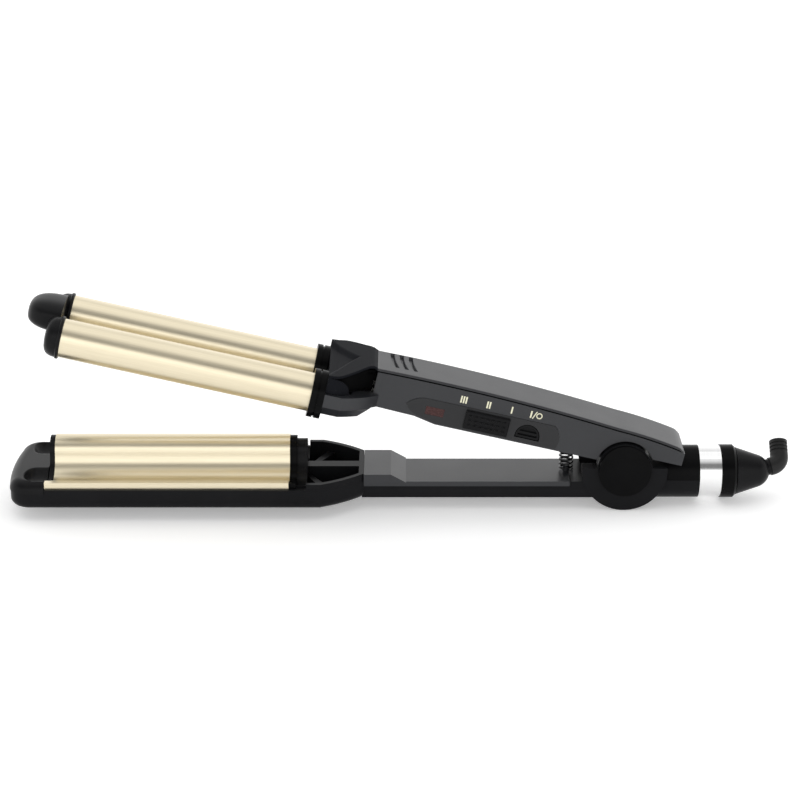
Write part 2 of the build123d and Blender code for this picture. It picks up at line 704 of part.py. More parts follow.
def slide_switch():
    """The switch body, with a slot that takes the slider's stem over its travel."""
    face = BOARD_Y - BOARD_THICKNESS
    with BuildPart() as body:
        block(
            UPPER.side(face), -SLIDER_S - 8.5, -SLIDER_S + 8.5, CONTROL_H - 1.7, CONTROL_H + 5, 4.6,
        )
        block(
            UPPER.side(face - 1.5), -SLIDER_S - STEM_LENGTH / 2 - SLIDER_TRAVEL - GAP,
            -SLIDER_S + STEM_LENGTH / 2 + SLIDER_TRAVEL + GAP, CONTROL_H - 2.5,
            CONTROL_H + STEM_HEIGHT / 2 + GAP, 6, Mode.SUBTRACT,
        )
    return body


def push_switch():
    face = BOARD_Y - BOARD_THICKNESS
    top = -HANDLE_HALF_WIDTH - PANEL_PROUD + BUTTON_SINK + BUTTON_DEPTH + 1
    with BuildPart() as body:
        block(
            UPPER.side(face), -BUTTON_S - 3.5, -BUTTON_S + 3.5, CONTROL_H - 1.6, CONTROL_H + 3.5,
            face - top - BUTTON_TRAVEL - GAP,
        )
    return body


def status_led():
    face = BOARD_Y - BOARD_THICKNESS
    with BuildPart() as led:
        disc(UPPER.side(face), -LED_S, CONTROL_H, 1.5, 4.5)
        fillet(led.faces().sort_by(Axis.Y)[0].edges(), 1.2)
    return led


def thermal_fuse():
    with BuildPart() as fuse:
        disc(UPPER.across(112), 5, 14, 2.0, 10)
        disc(UPPER.across(116), 5, 14, 0.5, 18)
    return fuse


def upper_wires():
    """One insulated lead to each barrel, along the handle and out through the yoke."""
    with BuildPart() as wires:
        for side in (-1, 1):
            y = 9.6 if side > 0 else -1.6
            points = [
                UPPER.top(UPPER_WIRE_H).from_local_coords(point)
                for point in (
                    (-30, y, 0), (-139, y, 0), (-147, side * BARREL_Y, 0), (-157, side * BARREL_Y, 0),
                )
            ]
            with BuildLine() as route:
                FilletPolyline(*points, radius=3.5)
            with BuildSketch(UPPER.across(30)):
                with Locations((y, UPPER_WIRE_H)):
                    Circle(WIRE_RADIUS)
            sweep(path=route.wires()[0])
    return wires


def upper_screws():
    with BuildPart() as screws:
        for s in UPPER_SCREWS:
            head = edge_height(s) + HEAD_SINK
            disc(UPPER.top(head), -s, SCREW_Y, SCREW_RADIUS, roof_height(s) - COVER_THICKNESS - 0.4 - head)
            disc(UPPER.top(head - 1.8), -s, SCREW_Y, HEAD_RADIUS, 1.8)
    return screws


# ---------------------------------------------------------------- lower jaw


def jaw_plan(plane, inset=0):
    """The lower jaw and neck from above."""
    neck_y = LOWER_HALF_WIDTH + 0.3
    middle = (-(NECK_START + NECK_END) / 2, (JAW_HALF_WIDTH + neck_y) / 2 + NECK_BULGE)
    nose = -TIP_REACH + NOSE_CROWN
    with BuildSketch(plane) as plan:
        with BuildLine():
            ThreePointArc((nose, -NOSE_HALF), (-TIP_REACH, 0), (nose, NOSE_HALF))
            Polyline((nose, NOSE_HALF), (nose + 1.5, JAW_HALF_WIDTH), (-NECK_START, JAW_HALF_WIDTH))
            ThreePointArc((-NECK_START, JAW_HALF_WIDTH), middle, (-NECK_END, neck_y))
            Line((-NECK_END, neck_y), (-NECK_END, -neck_y))
            ThreePointArc((-NECK_END, -neck_y), (middle[0], -middle[1]), (-NECK_START, -JAW_HALF_WIDTH))
            Polyline((-NECK_START, -JAW_HALF_WIDTH), (nose + 1.5, -JAW_HALF_WIDTH), (nose, -NOSE_HALF))
        make_face()
        fillet(plan.vertices().group_by(Axis.X)[1], NOSE_CORNER)
        if inset:
            offset(amount=-inset, kind=Kind.INTERSECTION, mode=Mode.REPLACE)
    return plan.sketch


def lower_section(top):
    """The lower handle's section up to a height."""
    return [
        (-LOWER_HALF_WIDTH, top), (-LOWER_HALF_WIDTH, LOWER_FACET), (-LOWER_BOTTOM_HALF, LOWER_BOTTOM),
        (LOWER_BOTTOM_HALF, LOWER_BOTTOM), (LOWER_HALF_WIDTH, LOWER_FACET), (LOWER_HALF_WIDTH, top),
    ]


def lower_shell():
    """Jaw trough, neck, handle channel, hinge boss and lower half of the rear barrel in one moulding."""
    channel_top = LOWER_TOP - LOWER_COVER
    with BuildPart() as shell:
        extrude(jaw_plan(LOWER.top(JAW_BOTTOM)), amount=JAW_RIM - JAW_BOTTOM)
        fillet(shell.faces().sort_by(Axis.Z)[0].edges(), JAW_EDGE)
        trough = jaw_plan(LOWER.top(JAW_BOTTOM + WALL), WALL)
        extrude(trough, amount=JAW_RIM - JAW_BOTTOM, mode=Mode.SUBTRACT)
        block(
            LOWER.top(TIP_SPLIT), -TIP_REACH - 1, -TIP_START + 0.2, -JAW_HALF_WIDTH - 1, JAW_HALF_WIDTH + 1,
            20, Mode.SUBTRACT,
        )
        # Handle channel, closed on top from the cover's end to the boss
        polygon(LOWER.across(NECK_END + 1), lower_section(channel_top - FIT), NECK_END + 1 - 10)
        polygon(LOWER.across(COVER_END - 0.2), lower_section(LOWER_TOP), COVER_END - 10.2)
        block(
            LOWER.across(NECK_END - WALL), -LOWER_HALF_WIDTH + WALL + 1.2, LOWER_HALF_WIDTH - WALL - 1.2,
            LOWER_BOTTOM + WALL, channel_top + 1, NECK_END - WALL - COVER_END - WALL, Mode.SUBTRACT,
        )
        # Boss: a full drum inside the upper handle's notch and a wider half below it
        disc(LOWER.side(), 0, 0, DRUM_RADIUS, BOSS_HALF_WIDTH, both=True)
        with BuildSketch(LOWER.side()):
            Circle(BOSS_RADIUS)
            with Locations((0, BOSS_CUT + BOSS_RADIUS)):
                Rectangle(3 * BOSS_RADIUS, 2 * BOSS_RADIUS, mode=Mode.SUBTRACT)
        extrude(amount=BOSS_HALF_WIDTH, both=True)
        # Lower half of the rear barrel
        disc(LOWER.across(-DRUM_RADIUS), 0, REAR_H, REAR_RADIUS, REAR_END - DRUM_RADIUS)
        block(
            LOWER.across(-BOSS_RADIUS - 0.2), -REAR_RADIUS - 1, REAR_RADIUS + 1, REAR_H, REAR_H + 20,
            REAR_END - BOSS_RADIUS + 1, Mode.SUBTRACT,
        )
        block(
            LOWER.across(-DRUM_RADIUS), -REAR_RADIUS - 1, REAR_RADIUS + 1, BOSS_CUT, REAR_H + 20,
            BOSS_RADIUS, Mode.SUBTRACT,
        )
        disc(LOWER.across(-REAR_START - WALL), 0, REAR_H, REAR_BORE, 40, Mode.SUBTRACT)
        # Slot for the tongue
        slot = [(-24, -5), (-24, 20), (14, 20), (14, 0), (0, -10)]
        polygon(LOWER.side(), slot, SLOT_HALF_WIDTH, Mode.SUBTRACT, both=True)
        disc(LOWER.side(), 0, 0, TONGUE_RADIUS + 1, SLOT_HALF_WIDTH, Mode.SUBTRACT, both=True)
        disc(LOWER.side(), 0, 0, PIN_RADIUS + FIT / 2, BOSS_RADIUS, Mode.SUBTRACT, both=True)
        for plane, turn in ((LOWER.side(-BOSS_HALF_WIDTH), -1), (LOWER.side(BOSS_HALF_WIDTH), 1)):
            disc(plane, 0, 0, SPIGOT_RADIUS + FIT, turn * SPIGOT_DEPTH, Mode.SUBTRACT)
        disc(LOWER.across(-8), 0, REAR_H, WIRE_HOLE, 20, Mode.SUBTRACT)
        # Screw posts under the cover
        for s in LOWER_SCREWS:
            disc(LOWER.top(LOWER_BOTTOM + 0.5), -s, 0, POST_RADIUS, channel_top - FIT - LOWER_BOTTOM - 0.5)
            disc(LOWER.top(LOWER_BOTTOM - 1), -s, 0, SCREW_RADIUS + 0.2, 20, Mode.SUBTRACT)
            disc(LOWER.top(LOWER_BOTTOM - 1), -s, 0, HEAD_RADIUS + 0.2, 1 + HEAD_SINK, Mode.SUBTRACT)
    return shell


def lower_handle_cover():
    """The flat top of the lower handle, with the raised block behind the neck."""
    floor = LOWER_TOP - LOWER_COVER
    start = NECK_END - 0.1
    with BuildPart() as cover:
        outline = [
            (-start, floor), (-start, BLOCK_TOP), (-BLOCK_END, BLOCK_TOP), (-BLOCK_FOOT, LOWER_TOP),
            (-COVER_END, LOWER_TOP), (-COVER_END, floor),
        ]
        polygon(LOWER.side(), outline, LOWER_HALF_WIDTH, both=True)
        wings = [
            (-start, LOWER_TOP), (-start, BLOCK_TOP), (-BLOCK_END, BLOCK_TOP), (-BLOCK_FOOT, LOWER_TOP),
        ]
        polygon(LOWER.side(), wings, BLOCK_HALF_WIDTH, both=True)
        for s in LOWER_SCREWS:
            disc(LOWER.top(floor - 0.1), -s, 0, SCREW_RADIUS + FIT, 1.7, Mode.SUBTRACT)
        disc(LOWER.top(LOWER_TOP), -SPRING_S - 1.5, 0, SPRING_POST, 3.0)
    return cover


def lower_screws():
    with BuildPart() as screws:
        for s in LOWER_SCREWS:
            head = LOWER_BOTTOM + HEAD_SINK
            disc(LOWER.top(head), -s, 0, SCREW_RADIUS, LOWER_TOP - LOWER_COVER + 1.4 - head)
            disc(LOWER.top(head - 1.8), -s, 0, HEAD_RADIUS, 1.8)
    return screws


def neck_frame():
    """Rim, middle rib and two slanting struts that brace the neck behind the plate."""
    floor = JAW_BOTTOM + WALL
    with BuildPart() as frame:
        extrude(jaw_plan(LOWER.top(JAW_RIM + FIT)), amount=RIM_TOP - JAW_RIM - FIT)
        extrude(jaw_plan(LOWER.top(JAW_RIM - 1), RIM_WALL), amount=10, mode=Mode.SUBTRACT)
        block(
            LOWER.top(JAW_RIM - 1), -TIP_REACH - 1, -HOLDER_ROOT + FIT, -JAW_HALF_WIDTH - 1,
            JAW_HALF_WIDTH + 1, 10, Mode.SUBTRACT,
        )
        block(
            LOWER.top(floor + FIT), -HOLDER_ROOT + FIT, -NECK_END - WALL, -RIB_WIDTH / 2, RIB_WIDTH / 2,
            RIB_TOP - floor - FIT,
        )
        for side in (-1, 1):
            strut = [
                (-HOLDER_ROOT + FIT, side * 2), (-HOLDER_ROOT + FIT, side * (2 + STRUT_WIDTH * 1.4)),
                (-HOLDER_ROOT + 9, side * (JAW_HALF_WIDTH - WALL - 1.6)),
                (-HOLDER_ROOT + 13, side * (JAW_HALF_WIDTH - WALL - 3.6)),
            ]
            polygon(LOWER.top(STRUT_TOP - 5), strut, 5)
    return frame


def wave_face(s, inset, floor):
    """The plate's section: crest between two grooves, flat lips outside; inset draws it thinner."""
    groove = GROOVE_RADIUS + inset
    crest = CREST_RADIUS - inset
    lip_top = LIP_TOP - inset
    lip_y = BARREL_Y + sqrt(groove**2 - (BARREL_H - lip_top) ** 2)
    reach = hypot(BARREL_Y, CREST_DROP)
    tangent = (crest * BARREL_Y / reach, CREST_H + crest * CREST_DROP / reach)
    bottom = (BARREL_Y, BARREL_H - groove)
    edge = PLATE_HALF_WIDTH - inset
    inside = JAW_HALF_WIDTH - WALL - FIT
    with BuildSketch(LOWER.across(s)) as face:
        with BuildLine():
            for side in (-1, 1):
                Polyline(
                    (side * inside, floor), (side * inside, JAW_RIM + FIT), (side * edge, JAW_RIM + FIT),
                    (side * edge, lip_top), (side * lip_y, lip_top),
                )
                ThreePointArc(
                    (side * lip_y, lip_top), (side * bottom[0], bottom[1]), (side * tangent[0], tangent[1]),
                )
            ThreePointArc((-tangent[0], tangent[1]), (0, CREST_H + crest), tangent)
            Line((-inside, floor), (inside, floor))
        make_face()
    return face.sketch


def wave_solid(start, end, inset, floor, mode=Mode.ADD):
    extrude(wave_face(start, inset, floor), amount=start - end, mode=mode)


def wave_plate():
    with BuildPart() as plate:
        wave_solid(PLATE_TIP, PLATE_ROOT, 0, -8)
        wave_solid(PLATE_TIP, PLATE_ROOT, PLATE_WALL, -9, Mode.SUBTRACT)
        for side in (-1, 1):
            block(
                LOWER.across(LIP_TIP), side * LIP_INNER, side * PLATE_HALF_WIDTH, JAW_RIM + FIT, LIP_TOP,
                LIP_TIP - PLATE_TIP,
            )
    return plate


def crest_end_cap():
    """Black end piece that closes the plate's crest at the tip."""
    with BuildPart() as cap:
        wave_solid(PLATE_TIP + 2.6, PLATE_TIP, 0.5, -8)
        for side in (-1, 1):
            block(
                LOWER.across(PLATE_TIP + 3), side * 22, side * 40, -20, 20, 4, Mode.SUBTRACT,
            )
    return cap


def plate_root_collar():
    with BuildPart() as collar:
        wave_solid(PLATE_ROOT, HOLDER_TIP + FIT, 0.6, -9)
        wave_solid(PLATE_ROOT, HOLDER_TIP, 3.2, -10, Mode.SUBTRACT)
    return collar


def plate_holder():
    """Heat-proof carrier behind the plate, with a raised panel and a hole for the leads."""
    with BuildPart() as holder:
        wave_solid(HOLDER_TIP, HOLDER_ROOT, HOLDER_INSET, JAW_BOTTOM + WALL + 0.6)
        for y in (-10, 10):
            disc(LOWER.across(HOLDER_TIP + 1), y, LOWER_WIRE_H, 2.2, 8, Mode.SUBTRACT)
    return holder


def lower_tip_cap():
    """The heat-proof spoon end of the lower jaw, with pockets that clear the barrel caps."""
    pocket = CAP_RADIUS + GAP + 0.5
    with BuildPart() as cap:
        extrude(jaw_plan(LOWER.top(TIP_SPLIT)), amount=TIP_TOP - TIP_SPLIT)
        block(
            LOWER.top(TIP_SPLIT - 1), -TIP_START, -NECK_END + 1, -JAW_HALF_WIDTH - 1, JAW_HALF_WIDTH + 1,
            10, Mode.SUBTRACT,
        )
        top = cap.faces().sort_by(Axis.Z)[-1]
        rim = top.edges().filter_by(lambda e: e.center().X < PIVOT_X - TIP_START - 0.5)
        fillet(rim, 4.6)
        for y in (-BARREL_Y, BARREL_Y):
            disc(
                LOWER.across(BARREL_TIP + CAP_LENGTH + 1.2), y, BARREL_H, pocket, 20, Mode.SUBTRACT,
            )
    return cap


def lower_heater():
    with BuildPart() as heater:
        length = PLATE_HEATER_TIP - PLATE_HEATER_ROOT
        block(LOWER.across(PLATE_HEATER_TIP), -4, 4, 4.0, 7.0, length)
    return heater


def lower_heater_clamp():
    """A sprung strip on a web that presses the heater up under the crest."""
    length = PLATE_HEATER_TIP - PLATE_HEATER_ROOT
    floor = JAW_BOTTOM + WALL + FIT
    web = LOWER.across(PLATE_HEATER_TIP - 3 * SHOE_INSET)
    with BuildPart() as clamp:
        block(LOWER.across(PLATE_HEATER_TIP - 2 * SHOE_INSET), -4.4, 4.4, 2.9, 3.9, length - 4 * SHOE_INSET)
        block(web, -0.8, 0.8, floor, 3.0, length - 6 * SHOE_INSET)
        block(web, -6, 6, floor, floor + 1.15, length - 6 * SHOE_INSET)
    return clamp


def thermostat():
    with BuildPart() as body:
        disc(LOWER.top(JAW_BOTTOM + WALL + 0.05), -178, 12, 6.0, 4.0)
        disc(LOWER.top(JAW_BOTTOM + WALL + 4.0), -178, 12, 2.4, 1.4)
    return body


def lower_wires():
    """The lead from the handle to the neck."""
    with BuildPart() as wires:
        disc(LOWER.across(126), LOWER_WIRE_Y, LOWER_WIRE_H, WIRE_RADIUS, 82)
    return wires


# ---------------------------------------------------------------- hinge, rear barrel and cord swivel


def pivot_pin():
    half = BOSS_HALF_WIDTH - SPIGOT_DEPTH - 0.1
    with BuildPart() as pin:
        disc(LOWER.side(), 0, 0, PIN_RADIUS, half, both=True)
        chamfer(pin.edges().filter_by(GeomType.CIRCLE), 0.4)
    return pin


def pivot_cap(turn):
    """A big disc over one end of the pin, with a sloping segment across its top."""
    face = turn * BOSS_HALF_WIDTH
    with BuildPart() as cap:
        disc(LOWER.side(face), 0, 0, DISC_RADIUS, -turn * DISC_THICKNESS)
        outer = cap.faces().sort_by(Axis.Y)[-1 if turn > 0 else 0]
        fillet(outer.edges(), 0.5)
        wedge = [
            (turn * (BOSS_HALF_WIDTH + DISC_THICKNESS + 1), 7.2),
            (turn * (BOSS_HALF_WIDTH + DISC_THICKNESS), 7.2),
            (turn * (BOSS_HALF_WIDTH + DISC_THICKNESS - 1.3), DISC_RADIUS + 0.5),
            (turn * (BOSS_HALF_WIDTH + DISC_THICKNESS + 1), DISC_RADIUS + 0.5),
        ]
        polygon(LOWER.across(DISC_RADIUS + 1), wedge, 2 * DISC_RADIUS + 2, Mode.SUBTRACT)
        disc(LOWER.side(face), 0, 0, SPIGOT_RADIUS, turn * (SPIGOT_DEPTH - FIT))
    return cap


def hinge_washers():
    with BuildPart() as washers:
        for turn in (-1, 1):
            with BuildSketch(LOWER.side(turn * (TONGUE_HALF_WIDTH + 0.05))):
                Circle(SPIGOT_RADIUS)
                Circle(PIN_RADIUS + RUNNING, mode=Mode.SUBTRACT)
            extrude(amount=-turn * 0.4)
    return washers


def opening_spring():
    """Compression spring between the arms, just ahead of the hinge."""
    top = UPPER.side().from_local_coords(Vector(-SPRING_S + SPRING_RADIUS + SPRING_WIRE, EDGE_MIDDLE, 0)).Z
    bottom = BOSS_RADIUS + LOWER_TOP
    centre = Vector(PIVOT_X - SPRING_S - 1.5, 0, bottom)
    height = top - bottom - SPRING_WIRE - 0.3
    pitch = height / SPRING_TURNS
    with BuildPart() as spring:
        with BuildLine() as coil:
            Helix(pitch=pitch, height=height, radius=SPRING_RADIUS, center=centre + Vector(0, 0, 0.65))
        with BuildSketch(Plane(origin=coil.line @ 0, z_dir=coil.line % 0)):
            Circle(SPRING_WIRE / 2)
        sweep(path=coil.wires()[0], is_frenet=True)
    return spring


def rear_cover():
    """Upper half of the rear barrel."""
    with BuildPart() as cover:
        disc(LOWER.across(-REAR_START), 0, REAR_H, REAR_RADIUS, REAR_END - REAR_START)
        disc(LOWER.across(-REAR_START - WALL), 0, REAR_H, REAR_BORE, 40, Mode.SUBTRACT)
        block(
            LOWER.across(-REAR_START + 1), -REAR_RADIUS - 1, REAR_RADIUS + 1, REAR_H + FIT, REAR_H - 20, 40,
            Mode.SUBTRACT,
        )
        disc(LOWER.across(-REAR_START + 1), 0, REAR_H, WIRE_HOLE, 10, Mode.SUBTRACT)
    return cover


def ring_piece(start, end, outer, inner):
    with BuildPart() as ring:
        disc(LOWER.across(-start), 0, REAR_H, outer, end - start)
        disc(LOWER.across(-start), 0, REAR_H, inner, end - start, Mode.SUBTRACT)
    return ring


def rear_collar():
    """Black end collar whose end wall carries the swivel."""
    with BuildPart() as collar:
        disc(LOWER.across(-RING_END - FIT), 0, REAR_H, REAR_COLLAR_RADIUS, COLLAR_END - RING_END - FIT)
        chamfer(collar.faces().sort_by(Axis.X)[-1].edges(), 1.2)
        disc(
            LOWER.across(-RING_END - FIT), 0, REAR_H, REAR_BORE - FIT, COLLAR_END - RING_END - FIT - 3.0,
            Mode.SUBTRACT,
        )
        disc(LOWER.across(-RING_END), 0, REAR_H, STEM_RADIUS + RUNNING, 20, Mode.SUBTRACT)
    return collar


def rear_sleeve():
    """Inner tube that joins the rear barrel, the trim ring and the collar."""
    return ring_piece(
        REAR_START + WALL + 1, COLLAR_END - 3.2, REAR_BORE - 2 * FIT, REAR_BORE - 2 * FIT - 1.6,
    )


def terminal_block():
    with BuildPart() as terminals:
        block(LOWER.across(-REAR_START - 6), -5, 5, REAR_H - 4, REAR_H + 4, 14)
        for y in (-2.5, 2.5):
            disc(LOWER.across(-REAR_START - 5), y, REAR_H, 1.4, 20, Mode.SUBTRACT)
    return terminals


def swivel_axis_plane():
    """Plane through the swivel axis that holds the cord exit: x along the axis, y towards the exit."""
    lean = radians(CORD_TILT)
    out = Vector(0, sin(lean), cos(lean))
    along = Vector(1, 0, 0)
    return Plane(origin=HINGE + Vector(0, 0, REAR_H), x_dir=along, z_dir=along.cross(out))


def swivel_ball():
    """Radius and centre of the ball that ends the cone."""
    beyond = SWIVEL_END - SWIVEL_WAIST
    ball = (beyond**2 + SWIVEL_WAIST_RADIUS**2) / (2 * beyond)
    return ball, SWIVEL_END - ball


def relief_start():
    """Plane where the strain relief meets the neck on the ball, facing along the first run of the boot."""
    plane = swivel_axis_plane()
    first = plane.from_local_coords((SWIVEL_END + RELIEF_GAP, RELIEF_START_H, 0))
    bend = plane.from_local_coords((TAIL_REACH - RELIEF_RADIUS, RELIEF_BEND_H, 0))
    return Plane(origin=first, z_dir=(bend - first).normalized())


def swivel_elbow():
    """Stem in the collar, cone outside it, the ball, and the neck on the ball that carries the boot."""
    plane = swivel_axis_plane()
    flange = COLLAR_END - COLLAR_WALL - STEM_CLEARANCE
    ball, centre = swivel_ball()
    with BuildPart() as elbow:
        with BuildSketch(plane):
            with BuildLine():
                Polyline(
                    (flange - STEM_FLANGE, 0), (flange - STEM_FLANGE, STEM_RADIUS + STEM_STEP),
                    (flange, STEM_RADIUS + STEM_STEP), (flange, STEM_RADIUS), (SWIVEL_START, STEM_RADIUS),
                    (SWIVEL_START, SWIVEL_RADIUS), (SWIVEL_WAIST, SWIVEL_WAIST_RADIUS),
                )
                ThreePointArc(
                    (SWIVEL_WAIST, SWIVEL_WAIST_RADIUS), (centre + ball * cos(0.7), ball * sin(0.7)),
                    (SWIVEL_END, 0),
                )
                Line((SWIVEL_END, 0), (flange - STEM_FLANGE, 0))
            make_face()
        revolve(axis=Axis(plane.origin, plane.x_dir))
        with BuildSketch(relief_start()):
            Circle(RELIEF_RADIUS - RIB_DEPTH)
        extrude(amount=-RELIEF_NECK)
        bore_start = plane.from_local_coords((flange - STEM_FLANGE, 0, 0))
        with BuildSketch(Plane(origin=bore_start, z_dir=(1, 0, 0))):
            Circle(CORD_RADIUS)
        extrude(amount=SWIVEL_BORE, mode=Mode.SUBTRACT)
    return elbow


def strain_relief():
    """Ribbed boot that bends from the ball towards the cord, with the bore that grips it."""
    plane = swivel_axis_plane()
    start = relief_start()
    bend_x = TAIL_REACH - RELIEF_RADIUS
    with BuildPart() as relief:
        with BuildLine() as route:
            bend = plane.from_local_coords((bend_x, RELIEF_BEND_H, 0))
            mouth_centre = plane.from_local_coords((bend_x, RELIEF_REACH, 0))
            FilletPolyline(start.origin, bend, mouth_centre, radius=RELIEF_BEND_RADIUS)
        path = route.wires()[0]
        with BuildSketch(start):
            Circle(RELIEF_RADIUS)
        sweep(path=path)
        mouth = Plane(origin=mouth_centre, z_dir=bend - mouth_centre)
        with BuildSketch(mouth):
            Circle(CORD_RADIUS)
        extrude(amount=CORD_GRIP, mode=Mode.SUBTRACT)
        for step in range(RIB_COUNT):
            with BuildSketch(mouth.offset(RIB_PITCH * (step + 0.85))):
                Circle(RELIEF_RADIUS + 1)
                Circle(RELIEF_RADIUS - RIB_DEPTH, mode=Mode.SUBTRACT)
            extrude(amount=RIB_PITCH / 2, mode=Mode.SUBTRACT)
    return relief


os.makedirs("parts", exist_ok=True)

for side_name, side_y in (("front", -BARREL_Y), ("rear", BARREL_Y)):
    save(barrel(side_y), f"barrel_{side_name}")
    save(root_collar(side_y), f"barrel_collar_{side_name}")
    save(barrel_heater(side_y), f"barrel_heater_{side_name}")
    save(heater_clamp(side_y), f"barrel_clamp_{side_name}")
save(upper_tip_cap(), "upper_tip_cap")
save(upper_cover(), "upper_cover")
save(upper_shell(), "upper_shell")
save(barrel_mount(), "barrel_mount")
save(control_panel(), "control_panel")
save(led_window(), "led_window")
save(heat_slider(), "heat_slider")
save(power_button(), "power_button")
save(circuit_board(), "circuit_board")
save(slide_switch(), "slide_switch")
save(push_switch(), "push_switch")
save(status_led(), "status_led")
save(thermal_fuse(), "thermal_fuse")
save(upper_wires(), "upper_wires")
save(upper_screws(), "upper_screws")

save(lower_shell(), "lower_shell")
save(lower_handle_cover(), "lower_handle_cover")
save(lower_screws(), "lower_screws")
save(neck_frame(), "neck_frame")
save(wave_plate(), "wave_plate")
save(crest_end_cap(), "crest_end_cap")
save(plate_root_collar(), "plate_root_collar")
save(plate_holder(), "plate_holder")
save(lower_tip_cap(), "lower_tip_cap")
save(lower_heater(), "lower_heater")
save(lower_heater_clamp(), "lower_heater_clamp")
save(thermostat(), "thermostat")
save(lower_wires(), "lower_wires")

save(pivot_pin(), "pivot_pin")
save(pivot_cap(-1), "pivot_cap_front")
save(pivot_cap(1), "pivot_cap_rear")
save(hinge_washers(), "hinge_washers")
save(opening_spring(), "opening_spring")
save(rear_cover(), "rear_cover")
save(ring_piece(REAR_END + FIT, RING_END, RING_RADIUS, REAR_BORE - FIT), "trim_ring")
save(rear_collar(), "rear_collar")
save(rear_sleeve(), "rear_sleeve")
save(terminal_block(), "terminal_block")
save(swivel_elbow(), "swivel_elbow")
save(strain_relief(), "strain_relief")
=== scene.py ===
"""A deep-wave hair crimper, resting open on a pale studio floor.

Pieces are drawn in millimetres in the frame of one arm: x runs towards the cord and is zero at the hinge
axis, y runs across, z runs up from the hinge axis. A place along an arm is given as s, the distance from the
hinge towards the tip, so x is -s. The lower arm lies level, the upper arm is raised.
"""

import json
import math

import bmesh
import bpy
from mathutils import Matrix, Vector


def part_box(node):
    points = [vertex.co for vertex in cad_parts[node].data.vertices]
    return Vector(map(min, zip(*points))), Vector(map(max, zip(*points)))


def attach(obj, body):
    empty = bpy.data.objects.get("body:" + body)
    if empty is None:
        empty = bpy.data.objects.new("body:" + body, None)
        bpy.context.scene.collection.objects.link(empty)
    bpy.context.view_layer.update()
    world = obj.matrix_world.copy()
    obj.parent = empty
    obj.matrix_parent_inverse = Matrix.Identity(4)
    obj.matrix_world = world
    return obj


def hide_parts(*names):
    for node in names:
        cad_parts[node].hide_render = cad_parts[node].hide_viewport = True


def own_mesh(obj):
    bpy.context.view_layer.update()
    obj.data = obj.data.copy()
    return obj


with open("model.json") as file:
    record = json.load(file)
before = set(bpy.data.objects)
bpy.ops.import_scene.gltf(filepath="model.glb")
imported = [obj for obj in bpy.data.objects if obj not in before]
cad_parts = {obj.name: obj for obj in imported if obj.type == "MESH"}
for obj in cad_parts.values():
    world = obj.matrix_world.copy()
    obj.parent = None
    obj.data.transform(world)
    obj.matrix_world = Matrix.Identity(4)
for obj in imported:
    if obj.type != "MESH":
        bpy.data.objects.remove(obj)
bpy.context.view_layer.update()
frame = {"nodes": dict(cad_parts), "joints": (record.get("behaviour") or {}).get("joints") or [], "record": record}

MM = 0.001
pivot = next(joint for joint in frame["joints"] if joint["name"] == "main_pivot")
HINGE = Vector(pivot["pos_m"])
OPENING = math.radians(-pivot["range_deg"][0])

LOWER = Matrix.Translation(HINGE) @ Matrix.Scale(MM, 4)
UPPER = Matrix.Translation(HINGE) @ Matrix.Rotation(OPENING, 4, "Y") @ Matrix.Scale(MM, 4)


# ---------------------------------------------------------------- camera, floor and light


def aim(thing, place, target):
    """Stand a camera or light at a place and point it at a target."""
    direction = Vector(target) - Vector(place)
    thing.location = place
    thing.rotation_euler = direction.to_track_quat("-Z", "Y").to_euler()


VIEW_MIDDLE = HINGE + Vector((-0.111, 0, 0.0312))
CAMERA_DISTANCE = 1.159
CAMERA_ELEVATION = math.radians(20.6)
FOCAL_LENGTH = 105.3

# Brightness of the surroundings by the sine of the elevation, on the camera's side and on the far side
FRONT_LIGHT = [
    (0.0, (1.0, 1.0, 1.0, 1)), (0.36, (0.98, 0.98, 0.98, 1)), (0.54, (0.16, 0.16, 0.16, 1)),
    (0.76, (0.16, 0.16, 0.16, 1)), (0.92, (0.62, 0.62, 0.62, 1)),
]
BACK_LIGHT = [(0.0, (0.92, 0.92, 0.92, 1)), (0.45, (0.86, 0.86, 0.86, 1)), (1.0, (0.52, 0.52, 0.52, 1))]
SIDES_BLEND = 0.35


def add_camera():
    """A long lens a little above the crimper, square to its side."""
    lens = bpy.data.cameras.new("studio_camera")
    lens.sensor_width = 36
    lens.lens = FOCAL_LENGTH
    lens.clip_start = 0.01
    lens.clip_end = 20
    camera = bpy.data.objects.new("studio_camera", lens)
    bpy.context.scene.collection.objects.link(camera)
    towards_viewer = Vector((0, -math.cos(CAMERA_ELEVATION), math.sin(CAMERA_ELEVATION)))
    aim(camera, VIEW_MIDDLE + CAMERA_DISTANCE * towards_viewer, VIEW_MIDDLE)
    bpy.context.scene.camera = camera


def add_softbox(name, place, target, size, power):
    """A rectangular soft light."""
    light = bpy.data.lights.new(name, "AREA")
    light.shape = "RECTANGLE"
    light.size, light.size_y = size
    light.energy = power
    softbox = bpy.data.objects.new(name, light)
    bpy.context.scene.collection.objects.link(softbox)
    aim(softbox, place, target)


